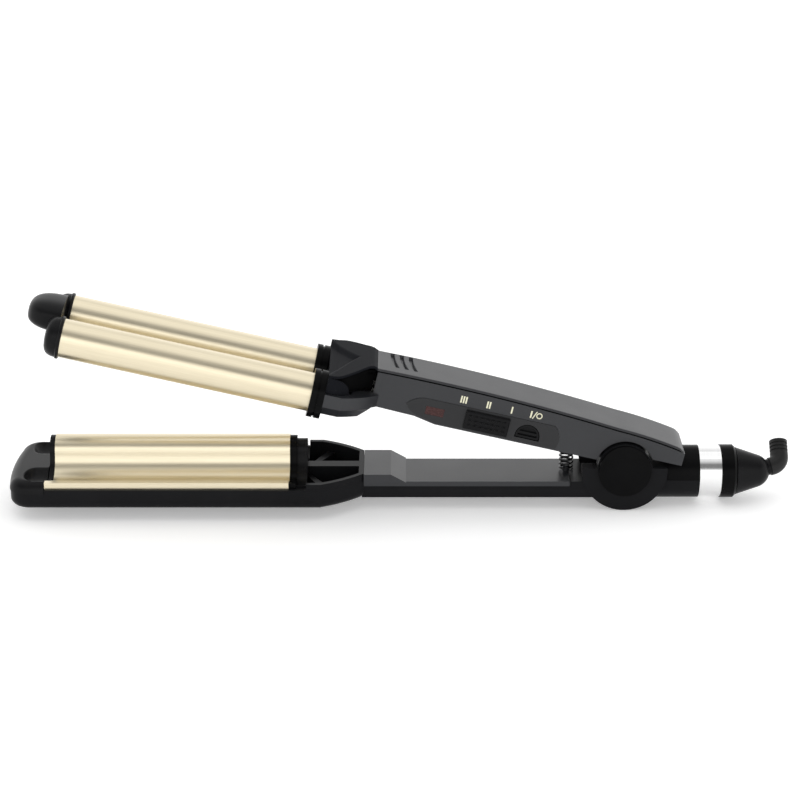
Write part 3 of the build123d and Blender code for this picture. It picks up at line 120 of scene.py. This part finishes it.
def add_studio():
    """Pale floor, soft surroundings whose brightness changes with height, and two softboxes."""
    bm = bmesh.new()
    bmesh.ops.create_grid(bm, x_segments=1, y_segments=1, size=6)
    mesh = bpy.data.meshes.new("studio_floor")
    bm.to_mesh(mesh)
    bm.free()
    floor = bpy.data.objects.new("studio_floor", mesh)
    bpy.context.scene.collection.objects.link(floor)
    paint = Shader("studio_floor")
    paint.principled({
        "Base Color": (0.93, 0.93, 0.93, 1),
        "Roughness": 0.9,
        "Specular IOR Level": 0.1,
        "Emission Color": (1, 1, 1, 1),
        "Emission Strength": 0.3,
    })
    mesh.materials.append(paint.material)
    world = bpy.data.worlds.new("studio")
    bpy.context.scene.world = world
    sky = Shader("studio", world)
    seen = sky.node("ShaderNodeTexCoord", {}, {}, "Generated")
    height = sky.node("ShaderNodeSeparateXYZ", {}, {0: seen}, "Z")
    depth = sky.node("ShaderNodeSeparateXYZ", {}, {0: seen}, "Y")
    front = sky.node("ShaderNodeValToRGB", {"stops": FRONT_LIGHT}, {0: height})
    back = sky.node("ShaderNodeValToRGB", {"stops": BACK_LIGHT}, {0: height})
    span = {0: depth, 1: -SIDES_BLEND, 2: SIDES_BLEND}
    around = sky.node("ShaderNodeMapRange", {"interpolation_type": "SMOOTHSTEP"}, span)
    glow = sky.node("ShaderNodeBackground", {}, {"Color": sky.mix(around, front, back), "Strength": 1.45})
    sky.node("ShaderNodeOutputWorld", {}, {"Surface": glow}, None)
    middle = (0, 0, 0.03)
    add_softbox("overhead", (0, 0.15, 1.3), middle, size=(2.2, 1.0), power=2.5)
    add_softbox("front", (-0.4, -1.5, 0.9), middle, size=(1.4, 0.5), power=2.0)
    bpy.context.scene.view_settings.view_transform = "Standard"


# ---------------------------------------------------------------- shader values


class Value:
    """A shader socket on which arithmetic adds Math nodes."""

    def __init__(self, shader, socket):
        self.shader = shader
        self.socket = socket

    def _math(self, operation, first, second):
        return self.shader.node("ShaderNodeMath", {"operation": operation}, {0: first, 1: second})

    def __add__(self, other):
        return self._math("ADD", self, other)

    def __radd__(self, other):
        return self._math("ADD", other, self)

    def __sub__(self, other):
        return self._math("SUBTRACT", self, other)

    def __rsub__(self, other):
        return self._math("SUBTRACT", other, self)

    def __mul__(self, other):
        return self._math("MULTIPLY", self, other)

    def __rmul__(self, other):
        return self._math("MULTIPLY", other, self)


class Shader:
    """The node tree of one material or world."""

    def __init__(self, name, owner=None):
        self.material = owner or bpy.data.materials.new(name)
        self.material.use_nodes = True
        self.tree = self.material.node_tree
        self.tree.nodes.clear()

    def node(self, kind, settings, inputs, output=0):
        """Add a node: its settings first, then its sockets as values or links; returns one output."""
        made = self.tree.nodes.new(kind)
        for key, setting in settings.items():
            if key == "stops":
                self._ramp(made.color_ramp, setting)
            else:
                setattr(made, key, setting)
        for key, given in inputs.items():
            if isinstance(given, Value):
                self.tree.links.new(given.socket, made.inputs[key])
            else:
                made.inputs[key].default_value = given
        return None if output is None else Value(self, made.outputs[output])

    @staticmethod
    def _ramp(ramp, stops):
        while len(ramp.elements) < len(stops):
            ramp.elements.new(1)
        for element, (position, colour) in zip(ramp.elements, stops):
            element.position = position
            element.color = colour

    def principled(self, inputs):
        """Finish the material with one Principled surface."""
        surface = self.node("ShaderNodeBsdfPrincipled", {}, inputs)
        self.node("ShaderNodeOutputMaterial", {}, {"Surface": surface}, None)

    def place(self, turn=0.0, stretch=(1, 1, 1)):
        """Object coordinates, turned level with an arm and stretched."""
        raw = self.node("ShaderNodeTexCoord", {}, {}, "Object")
        level = self.node("ShaderNodeMapping", {}, {"Vector": raw, "Rotation": (0, -turn, 0)})
        return self.node("ShaderNodeMapping", {}, {"Vector": level, "Scale": stretch})

    def noise(self, where, scale, detail, roughness=0.5):
        """Cloudy noise, from 0 to 1."""
        inputs = {"Vector": where, "Scale": scale, "Detail": detail, "Roughness": roughness}
        return self.node("ShaderNodeTexNoise", {}, inputs)

    def mix(self, amount, first, second):
        """One colour over another by an amount."""
        return self.node("ShaderNodeMix", {"data_type": "RGBA"}, {0: amount, 6: first, 7: second}, 2)

    def bump(self, height, strength, distance):
        """A normal tilted by a height, which spans a distance in metres."""
        inputs = {"Height": height, "Strength": strength, "Distance": distance}
        return self.node("ShaderNodeBump", {}, inputs)


# ---------------------------------------------------------------- finishes


def brushed_gold(name, turn):
    """Champagne coating over aluminium, brushed along the jaw."""
    shader = Shader(name)
    streaks = shader.noise(shader.place(turn, (30, 1500, 1500)), scale=1.0, detail=3.0, roughness=0.6)
    wear = shader.noise(shader.place(turn, (14, 60, 60)), scale=1.0, detail=2.0, roughness=0.5)
    shader.principled({
        "Base Color": shader.mix(streaks, (0.68, 0.60, 0.43, 1), (0.84, 0.76, 0.58, 1)),
        "Metallic": 1.0,
        "Roughness": 0.25 + 0.08 * streaks + 0.05 * wear,
        "Normal": shader.bump(streaks, strength=0.25, distance=0.00004),
    })
    return shader.material


def moulded(name, colour, roughness, texture, specular=0.5, index=1.5):
    """Injection-moulded plastic with a fine spark texture and faint handling marks."""
    shader = Shader(name)
    grain = shader.noise(shader.place(), scale=2600, detail=2.0, roughness=0.6)
    marks = shader.noise(shader.place(), scale=55, detail=3.0, roughness=0.55)
    paler = tuple(min(1, 1.25 * part + 0.004) for part in colour[:3]) + (1,)
    shader.principled({
        "Base Color": shader.mix(marks, colour, paler),
        "Roughness": roughness + 0.10 * (marks - 0.5) + 0.05 * (grain - 0.5),
        "Specular IOR Level": specular,
        "IOR": index,
        "Normal": shader.bump(grain, strength=texture, distance=0.00005),
    })
    return shader.material


def satin_metal(name, colour, roughness):
    """Metal turned or drawn in one direction."""
    shader = Shader(name)
    lines = shader.noise(shader.place(stretch=(1200, 60, 60)), scale=1.0, detail=2.0, roughness=0.6)
    paler = tuple(min(1, 1.12 * part) for part in colour[:3]) + (1,)
    shader.principled({
        "Base Color": shader.mix(lines, colour, paler),
        "Metallic": 1.0,
        "Roughness": roughness + 0.12 * (lines - 0.5),
        "Normal": shader.bump(lines, strength=0.2, distance=0.00003),
    })
    return shader.material


def tinted_window():
    """Dark red lens of the indicator."""
    shader = Shader("indicator_lens")
    cloud = shader.noise(shader.place(), scale=900, detail=2.0)
    shader.principled({
        "Base Color": shader.mix(cloud, (0.012, 0.004, 0.004, 1), (0.075, 0.02, 0.018, 1)),
        "Roughness": 0.22 + 0.1 * cloud,
        "Specular IOR Level": 0.3,
    })
    return shader.material


def solder_mask():
    """Green lacquer of the circuit board, over a hint of its tracks."""
    shader = Shader("solder_mask")
    pattern = {"Vector": shader.place(), "Scale": 420.0}
    tracks = shader.node("ShaderNodeTexVoronoi", {"distance": "MANHATTAN"}, pattern)
    shader.principled({
        "Base Color": shader.mix(tracks, (0.01, 0.08, 0.03, 1), (0.03, 0.20, 0.08, 1)),
        "Roughness": 0.35 + 0.2 * tracks,
    })
    return shader.material


# ---------------------------------------------------------------- making pieces

SHARP_EDGE = math.radians(35)


def add_piece(name, bm, arm, body, *materials):
    """Stand a mesh drawn in an arm's frame in the scene, riding on a body."""
    bmesh.ops.transform(bm, matrix=arm, verts=bm.verts)
    bmesh.ops.recalc_face_normals(bm, faces=bm.faces)
    mesh = bpy.data.meshes.new(name)
    bm.to_mesh(mesh)
    bm.free()
    for material in materials:
        mesh.materials.append(material)
    for face in mesh.polygons:
        face.use_smooth = True
    mesh.set_sharp_from_angle(angle=SHARP_EDGE)
    piece = bpy.data.objects.new(name, mesh)
    bpy.context.scene.collection.objects.link(piece)
    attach(piece, body)
    return piece


def on_line(points, place):
    """Height at a place on the straight lines through (place, height) points, given from high to low."""
    for (far, high), (near, low) in zip(points, points[1:]):
        if place >= near:
            return low + (high - low) * (place - near) / (far - near)
    return points[-1][1]


def eased(low, high, value):
    """0 below low, 1 above high, smooth between."""
    part = max(0.0, min(1.0, (value - low) / (high - low)))
    return part * part * (3 - 2 * part)


def edges_of(verts):
    """The edges that meet some vertices, each once and in the same order every time."""
    return list(dict.fromkeys(edge for vert in verts for edge in vert.link_edges))


def faces_of(verts):
    """The faces that meet some vertices, each once and in the same order every time."""
    return list(dict.fromkeys(face for vert in verts for face in vert.link_faces))


def add_sheet(bm, rows, columns, place, thickness):
    """A grid whose (row, column) corners are put in place by a function, then given a thickness."""
    made = bmesh.ops.create_grid(bm, x_segments=len(rows) - 1, y_segments=len(columns) - 1, size=0.5)
    for vert in made["verts"]:
        row = rows[round((vert.co.x + 0.5) * (len(rows) - 1))]
        column = columns[round((vert.co.y + 0.5) * (len(columns) - 1))]
        vert.co = place(row, column)
    faces = faces_of(made["verts"])
    bmesh.ops.recalc_face_normals(bm, faces=faces)
    bmesh.ops.solidify(bm, geom=faces, thickness=thickness)


def add_tube(bm, rows, steps, place):
    """A closed skin of rings, one for each row; rings that shrink to a point close its ends."""
    made = bmesh.ops.create_grid(bm, x_segments=len(rows) - 1, y_segments=steps, size=0.5)
    for vert in made["verts"]:
        row = rows[round((vert.co.x + 0.5) * (len(rows) - 1))]
        turn = math.tau * round((vert.co.y + 0.5) * steps) / steps
        vert.co = place(row, turn)
    bmesh.ops.remove_doubles(bm, verts=made["verts"], dist=0.002)


def add_box(bm, middle, size, lean=0.0):
    """A box in the plane of the handle's side, leaning by an angle."""
    turn = Matrix.Translation(middle) @ Matrix.Rotation(lean, 4, "Y")
    bmesh.ops.create_cube(bm, size=1, matrix=turn @ Matrix.Diagonal((*size, 1)))


# ---------------------------------------------------------------- handle cover

HANDLE_HALF = 14.0
HANDLE_FRONT = 130.0
HANDLE_TAIL = -27.0
YOKE_FRONT = 153.5
COVER_WALL = 1.6
COVER_ROUND = 0.9
COVER_WIDTHS = (
    (YOKE_FRONT, 27.8), (149.0, 27.8), (146.8, 27.0), (144.7, 25.6), (142.3, 23.5), (140.0, 21.2),
    (137.2, 18.2), (134.4, 15.6), (131.6, HANDLE_HALF), (HANDLE_TAIL, HANDLE_HALF),
)

# Ends of the two bows along the handle's top, as place and height, and how far each bow rises
BOW_FRONT, BOW_BREAK, BOW_REAR = (HANDLE_FRONT, 23.6), (8.0, 20.1), (HANDLE_TAIL, 16.2)
FRONT_RISE, REAR_RISE = 1.6, 0.7
YOKE_TOPS = ((YOKE_FRONT, 19.5), (149.5, 19.9), (134.5, 24.5), (132.4, 24.6), BOW_FRONT)
TAIL_ROUND, TAIL_DROP = 4.0, 2.4

# The scoop's edge crosses the middle at SCOOP_REAR and lies SCOOP_SWEEP further forward at its sides
SCOOP_REAR, SCOOP_SWEEP, SCOOP_HALF = 139.0, 14.5, 26.0
SCOOP_CURL, SCOOP_RAMP, SCOOP_DEPTH = 0.9, 3.2, 1.7

VENTS = (122.6, 118.0, 113.4)
VENT_NEAR, VENT_FAR = -6.6, 12.6
VENT_SHIFT, VENT_HOOK, VENT_CURL = 0.6, 2.6, 2.2
VENT_FLOOR_HALF, VENT_MOUTH_HALF = 0.7, 1.0
VENT_DEPTH = 1.3

CHEEK_FOOT, CHEEK_TOP = 10.5, 18.6
CHEEK_REAR, CHEEK_CURVE = 142.0, 8.6
CHEEK_WALL = 1.8


def cover_top(s):
    """Height of the cover's middle line: the yoke's slope, then the handle's two bows."""
    if s > HANDLE_FRONT:
        return on_line(YOKE_TOPS, s)
    front, rear, rise = BOW_BREAK, BOW_REAR, REAR_RISE
    if s > BOW_BREAK[0]:
        front, rear, rise = BOW_FRONT, BOW_BREAK, FRONT_RISE
    off_middle = 2 * (s - rear[0]) / (front[0] - rear[0]) - 1
    return on_line((front, rear), s) + rise * (1 - off_middle**2)


def scoop_depth(s, y):
    """The thumb scoop in the yoke plate, open towards the barrels."""
    edge = SCOOP_REAR + SCOOP_SWEEP * (min(abs(y), SCOOP_HALF) / SCOOP_HALF) ** SCOOP_CURL
    return SCOOP_DEPTH * eased(0.0, SCOOP_RAMP, s - edge)


def vent_depth(s, y):
    """Three crescent grooves that hook rearwards at their near ends."""
    if not VENT_NEAR < y < VENT_FAR:
        return 0.0
    hook = VENT_HOOK * ((VENT_FAR - y) / (VENT_FAR - VENT_NEAR)) ** VENT_CURL
    nearest = min(abs(s - (vent + VENT_SHIFT - hook)) for vent in VENTS)
    return VENT_DEPTH * (1 - eased(VENT_FLOOR_HALF, VENT_MOUTH_HALF, nearest))


def cover_place(s, across):
    """Corner of the cover's outer skin; across runs from -1 to 1."""
    half = on_line(COVER_WIDTHS, s)
    y = across * half
    past = max(0.0, abs(y) - (half - COVER_ROUND))
    drop = COVER_ROUND - math.sqrt(max(0.0, COVER_ROUND**2 - past**2))
    into_tail = min(1.0, max(0.0, HANDLE_TAIL + TAIL_ROUND - s) / TAIL_ROUND)
    tail = TAIL_DROP * (1 - math.sqrt(1 - into_tail**2))
    return Vector((-s, y, cover_top(s) - drop - tail - scoop_depth(s, y) - vent_depth(s, y)))


def cheek_place(side):
    """Corner of a front cheek: a side wall under the yoke plate with a curved rear edge."""
    def place(along, up):
        rear = CHEEK_REAR + CHEEK_CURVE * (1 - math.sqrt(1 - min(1.0, up) ** 2))
        s = YOKE_FRONT + (rear - YOKE_FRONT) * along
        height = CHEEK_FOOT + (CHEEK_TOP - CHEEK_FOOT) * up
        return Vector((-s, side * on_line(COVER_WIDTHS, s), height))
    return place


def handle_cover():
    """Yoke plate with its scoop and cheeks, and the handle's top with three vents, in one moulding."""
    # Rows stand closest together across the vents, and columns at the rounded edges
    yoke = [YOKE_FRONT - 0.5 * step for step in range(47)]
    vents = [HANDLE_FRONT - 0.3 * step for step in range(74)]
    tail = [107.8 - 2.0 * step for step in range(68)] + [HANDLE_TAIL]
    edge = [1 - 0.0045 * step**1.9 for step in range(9)]
    middle = [0.025 * step for step in range(-31, 32)]
    columns = sorted(set(edge + [-place for place in edge] + middle))
    bm = bmesh.new()
    add_sheet(bm, yoke + vents + tail, columns, cover_place, COVER_WALL)
    steps = [step / 10 for step in range(11)]
    for side in (-1, 1):
        add_sheet(bm, steps, steps, cheek_place(side), CHEEK_WALL)
    yoke_starts = -HANDLE_FRONT - 0.4
    for face in bm.faces:
        face.material_index = 1 if face.calc_center_median().x < yoke_starts else 0
    cover = add_piece("handle_cover", bm, UPPER, "upper_arm", FINISHES["charcoal_satin"], YOKE_BLACK)
    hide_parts("upper_cover")


# ---------------------------------------------------------------- block in the yoke

CORE_FRONT, CORE_LENGTH = 151.0, 20
CORE_INSET = 3.4
CORE_FOOT, CORE_BED = 10.6, 12.3
FLANK_TOP, FLANK_GAP, FLANK_WALL = 21.4, 1.8, 1.5
FLANK_STEP, FLANK_STEP_AT = 1.6, 149.0
ROOF_TOP, ROOF_GAP, ROOF_WALL = 20.4, 3.6, 1.2


def core_half(s):
    """Half the width of the block, set in under the yoke plate."""
    return on_line(COVER_WIDTHS, s) - CORE_INSET


def core_flank(side):
    """Corner of a flank of the block, which steps down at its front."""
    def place(s, up):
        top = min(cover_top(s) - FLANK_GAP, FLANK_TOP) - FLANK_STEP * (s > FLANK_STEP_AT)
        return Vector((-s, side * core_half(s), CORE_FOOT + (top - CORE_FOOT) * up))
    return place


def core_roof(s, across):
    """Corner of the block's roof, just under the plate."""
    return Vector((-s, across * core_half(s), min(cover_top(s) - ROOF_GAP, ROOF_TOP)))


def core_floor(s, across):
    """Corner of the block's floor, just above the split with the bowl."""
    return Vector((-s, across * core_half(s), CORE_BED))


def yoke_core():
    """Black heat-proof block that fills the yoke between its plate and its bowl; its finish, darker and duller
    than the other blacks, is painted shade for the recess.
    """
    bm = bmesh.new()
    rows = [CORE_FRONT - step for step in range(CORE_LENGTH + 1)]
    steps = [step / 8 for step in range(9)]
    for side in (-1, 1):
        add_sheet(bm, rows, steps, core_flank(side), FLANK_WALL)
    for place in (core_roof, core_floor):
        add_sheet(bm, rows, [step / 12 for step in range(-12, 13)], place, ROOF_WALL)
    core = add_piece("yoke_core", bm, UPPER, "upper_arm", RECESS_PAINTED_SHADE)
    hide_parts("barrel_mount")


# ---------------------------------------------------------------- upper tip cap

BARREL_TIP = 282.7
BARREL_Y, BARREL_H = 18.0, 6.1
DOME_BACK, DOME_LENGTH = 285.4, 17.0
DOME_H, DOME_HALF_WIDTH, DOME_HALF_HEIGHT = 11.6, 14.2, 7.7
DOME_SAG = 0.9
SQUARENESS, DOME_TAPER, CROWN_TAPER = 2.7, 0.38, 0.8

# Distance beyond the barrel and radius of each ring of a cap: the rim, a step down from it, the rounded end
CAP_RINGS = (
    (0.0, 0.0), (0.0, 9.6), (0.15, 10.2), (0.5, 10.5), (1.4, 10.5), (1.75, 10.2), (1.9, 9.9), (2.2, 9.9),
    (4.0, 9.7), (5.4, 9.2), (6.5, 8.4), (7.3, 7.3), (7.8, 5.9), (8.1, 4.0), (8.25, 2.0), (8.3, 0.0),
)


def barrel_cap_place(side):
    """Corner of a barrel's end cap: a rim against the barrel, then a rounded end."""
    def place(ring, turn):
        beyond, radius = ring
        across = side * BARREL_Y + radius * math.cos(turn)
        return Vector((-BARREL_TIP - beyond, across, BARREL_H + radius * math.sin(turn)))
    return place


def dome_place(along, turn):
    """Corner of the thumb dome; along runs from its flat back to its front, and below 0 closes the back."""
    forward = max(0.0, along)
    size = 0.0 if along < 0 else (1 - forward**SQUARENESS) ** DOME_TAPER
    across, up = math.cos(turn), math.sin(turn)
    squarish = (abs(across) ** SQUARENESS + abs(up) ** SQUARENESS) ** (-1 / SQUARENESS)
    s = DOME_BACK + DOME_LENGTH * forward
    y = DOME_HALF_WIDTH * size * squarish * across
    sag = DOME_SAG * forward * (1 - size)
    return Vector((-s, y, DOME_H - sag + DOME_HALF_HEIGHT * size**CROWN_TAPER * squarish * up))


def upper_tip():
    """A cap on each barrel and the thumb dome between them, in one moulding."""
    bm = bmesh.new()
    for side in (-1, 1):
        add_tube(bm, CAP_RINGS, 56, barrel_cap_place(side))
    rows = [-0.01] + [1 - (1 - step / 30) ** 2 for step in range(31)]
    add_tube(bm, rows, 64, dome_place)
    tip = add_piece("tip_caps_and_dome", bm, UPPER, "upper_arm", FINISHES["black_satin"])
    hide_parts("upper_tip_cap")


# ---------------------------------------------------------------- lower tip cap

TIP_REACH = 304.8
TIP_START = 285.3
TIP_SPLIT = -7.0
TIP_ROUND = 5.5
TIP_RISE = 5.8
TIP_WALL = 1.5
NOSE_BOW = 1.5
CORNER_S, CORNER_Y, CORNER_RADIUS = 293.3, 20.0, 10.0

# Each hollow is a trough round a shut barrel's axis, which closes in front of HOLLOW_TIP
HOLLOW_RADIUS, HOLLOW_EDGE = 11.1, 10.8
HOLLOW_TIP, HOLLOW_CLOSING = 291.3, 1.6


def nose_reach(y):
    """How far the jaw's nose reaches at a distance from its middle."""
    if y > CORNER_Y:
        return CORNER_S + math.sqrt(max(0.0, CORNER_RADIUS**2 - (y - CORNER_Y) ** 2))
    return TIP_REACH - NOSE_BOW * (y / CORNER_Y) ** 2


def nose_inset(s, y):
    """How far inside the nose's outline a place lies."""
    if s > CORNER_S and y > CORNER_Y:
        return CORNER_RADIUS - math.hypot(s - CORNER_S, y - CORNER_Y)
    return min(CORNER_Y + CORNER_RADIUS - y, nose_reach(y) - s)


def tip_place(forward, across):
    """Corner of the tip cap: a rounded rim, with hollows that take the ends of the barrels."""
    y = across * (CORNER_Y + CORNER_RADIUS)
    s = TIP_START + forward * (nose_reach(abs(y)) - TIP_START)
    inset = max(0.0, min(1.0, nose_inset(s, abs(y)) / TIP_ROUND))
    height = TIP_SPLIT + TIP_RISE * math.sqrt(1 - (1 - inset) ** 2)
    off_axis = math.hypot(abs(y) - BARREL_Y, HOLLOW_CLOSING * max(0.0, s - HOLLOW_TIP))
    if off_axis < HOLLOW_EDGE:
        height = min(height, BARREL_H - math.sqrt(HOLLOW_RADIUS**2 - off_axis**2))
    return Vector((-s, y, height))


def lower_tip_cap():
    """Cap over the jaw's nose, with closer corners towards its rim."""
    rows = [1 - (step / 64) ** 1.4 for step in range(65)]
    columns = [math.sin(math.pi / 2 * step / 60) for step in range(-60, 61)]
    bm = bmesh.new()
    add_sheet(bm, rows, columns, tip_place, TIP_WALL)
    cap = add_piece("nose_cap", bm, LOWER, "lower_arm", FINISHES["black_satin"])
    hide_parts("lower_tip_cap")


# ---------------------------------------------------------------- controls

MARK_H = 17.6
MARK_Y = -HANDLE_HALF - 0.03
STROKE, STROKE_PITCH = (0.75, 0.12, 3.6), 1.25
SLASH, SLASH_LEAN = (0.5, 0.12, 4.2), math.radians(22)
HEAT_MARKS = ((85.9, 3), (73.4, 2), (61.7, 1))
ON_MARK, SLASH_MARK, OFF_MARK = 52.0, 50.2, 47.9
OFF_RADIUS, OFF_LINE = 1.3, 0.3

SLIDER_S, SLIDER_H = 72.3, 8.3
DOT_COLUMNS, DOT_ROWS = 7, 3
COLUMN_PITCH, ROW_PITCH = 2.9, 2.5
DOT_RADIUS, DOT_FLATNESS = 0.55, 0.55


def control_marks():
    """Printed strokes over the heat settings and the power button."""
    bm = bmesh.new()
    for group, count in HEAT_MARKS:
        for step in range(count):
            shift = STROKE_PITCH * (step - (count - 1) / 2)
            add_box(bm, (-group + shift, MARK_Y, MARK_H), STROKE)
    add_box(bm, (-ON_MARK, MARK_Y, MARK_H), STROKE)
    add_box(bm, (-SLASH_MARK, MARK_Y, MARK_H), SLASH, SLASH_LEAN)
    line_start = Matrix.Translation((-OFF_MARK + OFF_RADIUS, MARK_Y, MARK_H))
    line = bmesh.ops.create_circle(bm, segments=6, radius=OFF_LINE, matrix=line_start)
    bmesh.ops.spin(
        bm, geom=line["verts"] + edges_of(line["verts"]), cent=(-OFF_MARK, MARK_Y, MARK_H), axis=(0, 1, 0),
        angle=math.tau, steps=28, use_merge=True,
    )
    add_piece("control_marks", bm, UPPER, "upper_arm", MARK_CREAM)


def slider_dots():
    """Grip dots on the heat slider."""
    bm = bmesh.new()
    face = 1000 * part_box("heat_slider")[0][1]
    for column in range(DOT_COLUMNS):
        for row in range(DOT_ROWS):
            along = -SLIDER_S + COLUMN_PITCH * (column - (DOT_COLUMNS - 1) / 2)
            up = SLIDER_H + ROW_PITCH * (row - (DOT_ROWS - 1) / 2)
            dome = Matrix.Translation((along, face, up)) @ Matrix.Diagonal((1, DOT_FLATNESS, 1, 1))
            bmesh.ops.create_icosphere(bm, subdivisions=2, radius=DOT_RADIUS, matrix=dome)
    add_piece("slider_dots", bm, UPPER, "slider", FINISHES["black_satin"])


# ---------------------------------------------------------------- opening spring

COIL_TURNS, COIL_STEPS = 5.5, 132
WIRE_RADIUS = 0.5


def opening_spring():
    """Coil between the arms, fitted to the box of the spring part."""
    low, high = (1000 * (Vector(corner) - HINGE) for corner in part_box("opening_spring"))
    axis = (low + high) / 2
    coil = (high.y - low.y) / 2 - WIRE_RADIUS
    rise = high.z - low.z - 2 * WIRE_RADIUS
    bm = bmesh.new()
    foot_end = Matrix.Translation((axis.x + coil, axis.y, low.z + WIRE_RADIUS))
    start = foot_end @ Matrix.Rotation(math.pi / 2, 4, "X")
    made = bmesh.ops.create_circle(bm, cap_ends=True, segments=10, radius=WIRE_RADIUS, matrix=start)
    section = made["verts"] + edges_of(made["verts"]) + faces_of(made["verts"])
    bmesh.ops.spin(
        bm, geom=section, cent=axis, axis=(0, 0, 1), dvec=(0, 0, rise / COIL_STEPS),
        angle=math.tau * COIL_TURNS, steps=COIL_STEPS,
    )
    spring = add_piece("spring_coil", bm, LOWER, "lower_arm", SPRING_STEEL)
    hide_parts("opening_spring")
    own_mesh(spring)


# ---------------------------------------------------------------- the crimper

add_studio()
add_camera()

# A moulded finish has its colour, roughness, depth of spark texture, specular level and refractive index
FINISHES = {
    "gold_barrel": brushed_gold("gold_barrel", OPENING),
    "gold_plate": brushed_gold("gold_plate", 0.0),
    "black_gloss": moulded("black_gloss", (0.002, 0.002, 0.0022, 1), 0.18, 0.05, 0.12, 1.25),
    "black_satin": moulded("black_satin", (0.005, 0.005, 0.0056, 1), 0.32, 0.2, 0.3, 1.25),
    "charcoal_satin": moulded("charcoal_satin", (0.016, 0.0168, 0.0195, 1), 0.36, 0.25, 0.42),
    "led_red": tinted_window(),
    "board_green": solder_mask(),
    "ceramic": moulded("ceramic", (0.72, 0.70, 0.65, 1), 0.6, 0.5),
    "bare_aluminium": satin_metal("bare_aluminium", (0.72, 0.73, 0.74, 1), 0.3),
    "wire_sleeve": moulded("wire_sleeve", (0.42, 0.42, 0.40, 1), 0.7, 0.5),
    "steel": satin_metal("steel", (0.55, 0.56, 0.57, 1), 0.28),
    "silver_ring": satin_metal("silver_ring", (0.80, 0.80, 0.80, 1), 0.12),
    "black_rubber": moulded("black_rubber", (0.007, 0.007, 0.007, 1), 0.48, 0.4, 0.25),
}
SHELL_BLACK = moulded("shell_black", (0.0055, 0.0056, 0.0064, 1), 0.3, 0.2, 0.3, 1.2)
PANEL_CHARCOAL = moulded("panel_charcoal", (0.011, 0.0112, 0.0125, 1), 0.34, 0.25, 0.32)
# Painted shade: a darker, duller black than the other plastics, so the recess in the yoke looks shadowed
RECESS_PAINTED_SHADE = moulded("recess_painted_shade", (0.0016, 0.0016, 0.0018, 1), 0.5, 0.3, 0.1, 1.1)
YOKE_BLACK = moulded("yoke_black", (0.006, 0.0065, 0.0085, 1), 0.42, 0.2, 0.2, 1.12)
SPRING_STEEL = satin_metal("spring_steel", (0.05, 0.05, 0.052, 1), 0.35)
MARK_CREAM = moulded("mark_cream", (0.72, 0.70, 0.52, 1), 0.6, 0.2, 0.3)

NODE_FINISHES = {
    "lower_shell": SHELL_BLACK,
    "neck_frame": SHELL_BLACK,
    "control_panel": PANEL_CHARCOAL,
}

SLOTS = {part["node"]: part["material_slot"] for part in frame["record"]["subparts"]}
for node, part in frame["nodes"].items():
    part.data.materials.clear()
    part.data.materials.append(NODE_FINISHES.get(node, FINISHES[SLOTS[node]]))

handle_cover()
yoke_core()
upper_tip()
lower_tip_cap()
opening_spring()
control_marks()
slider_dots()
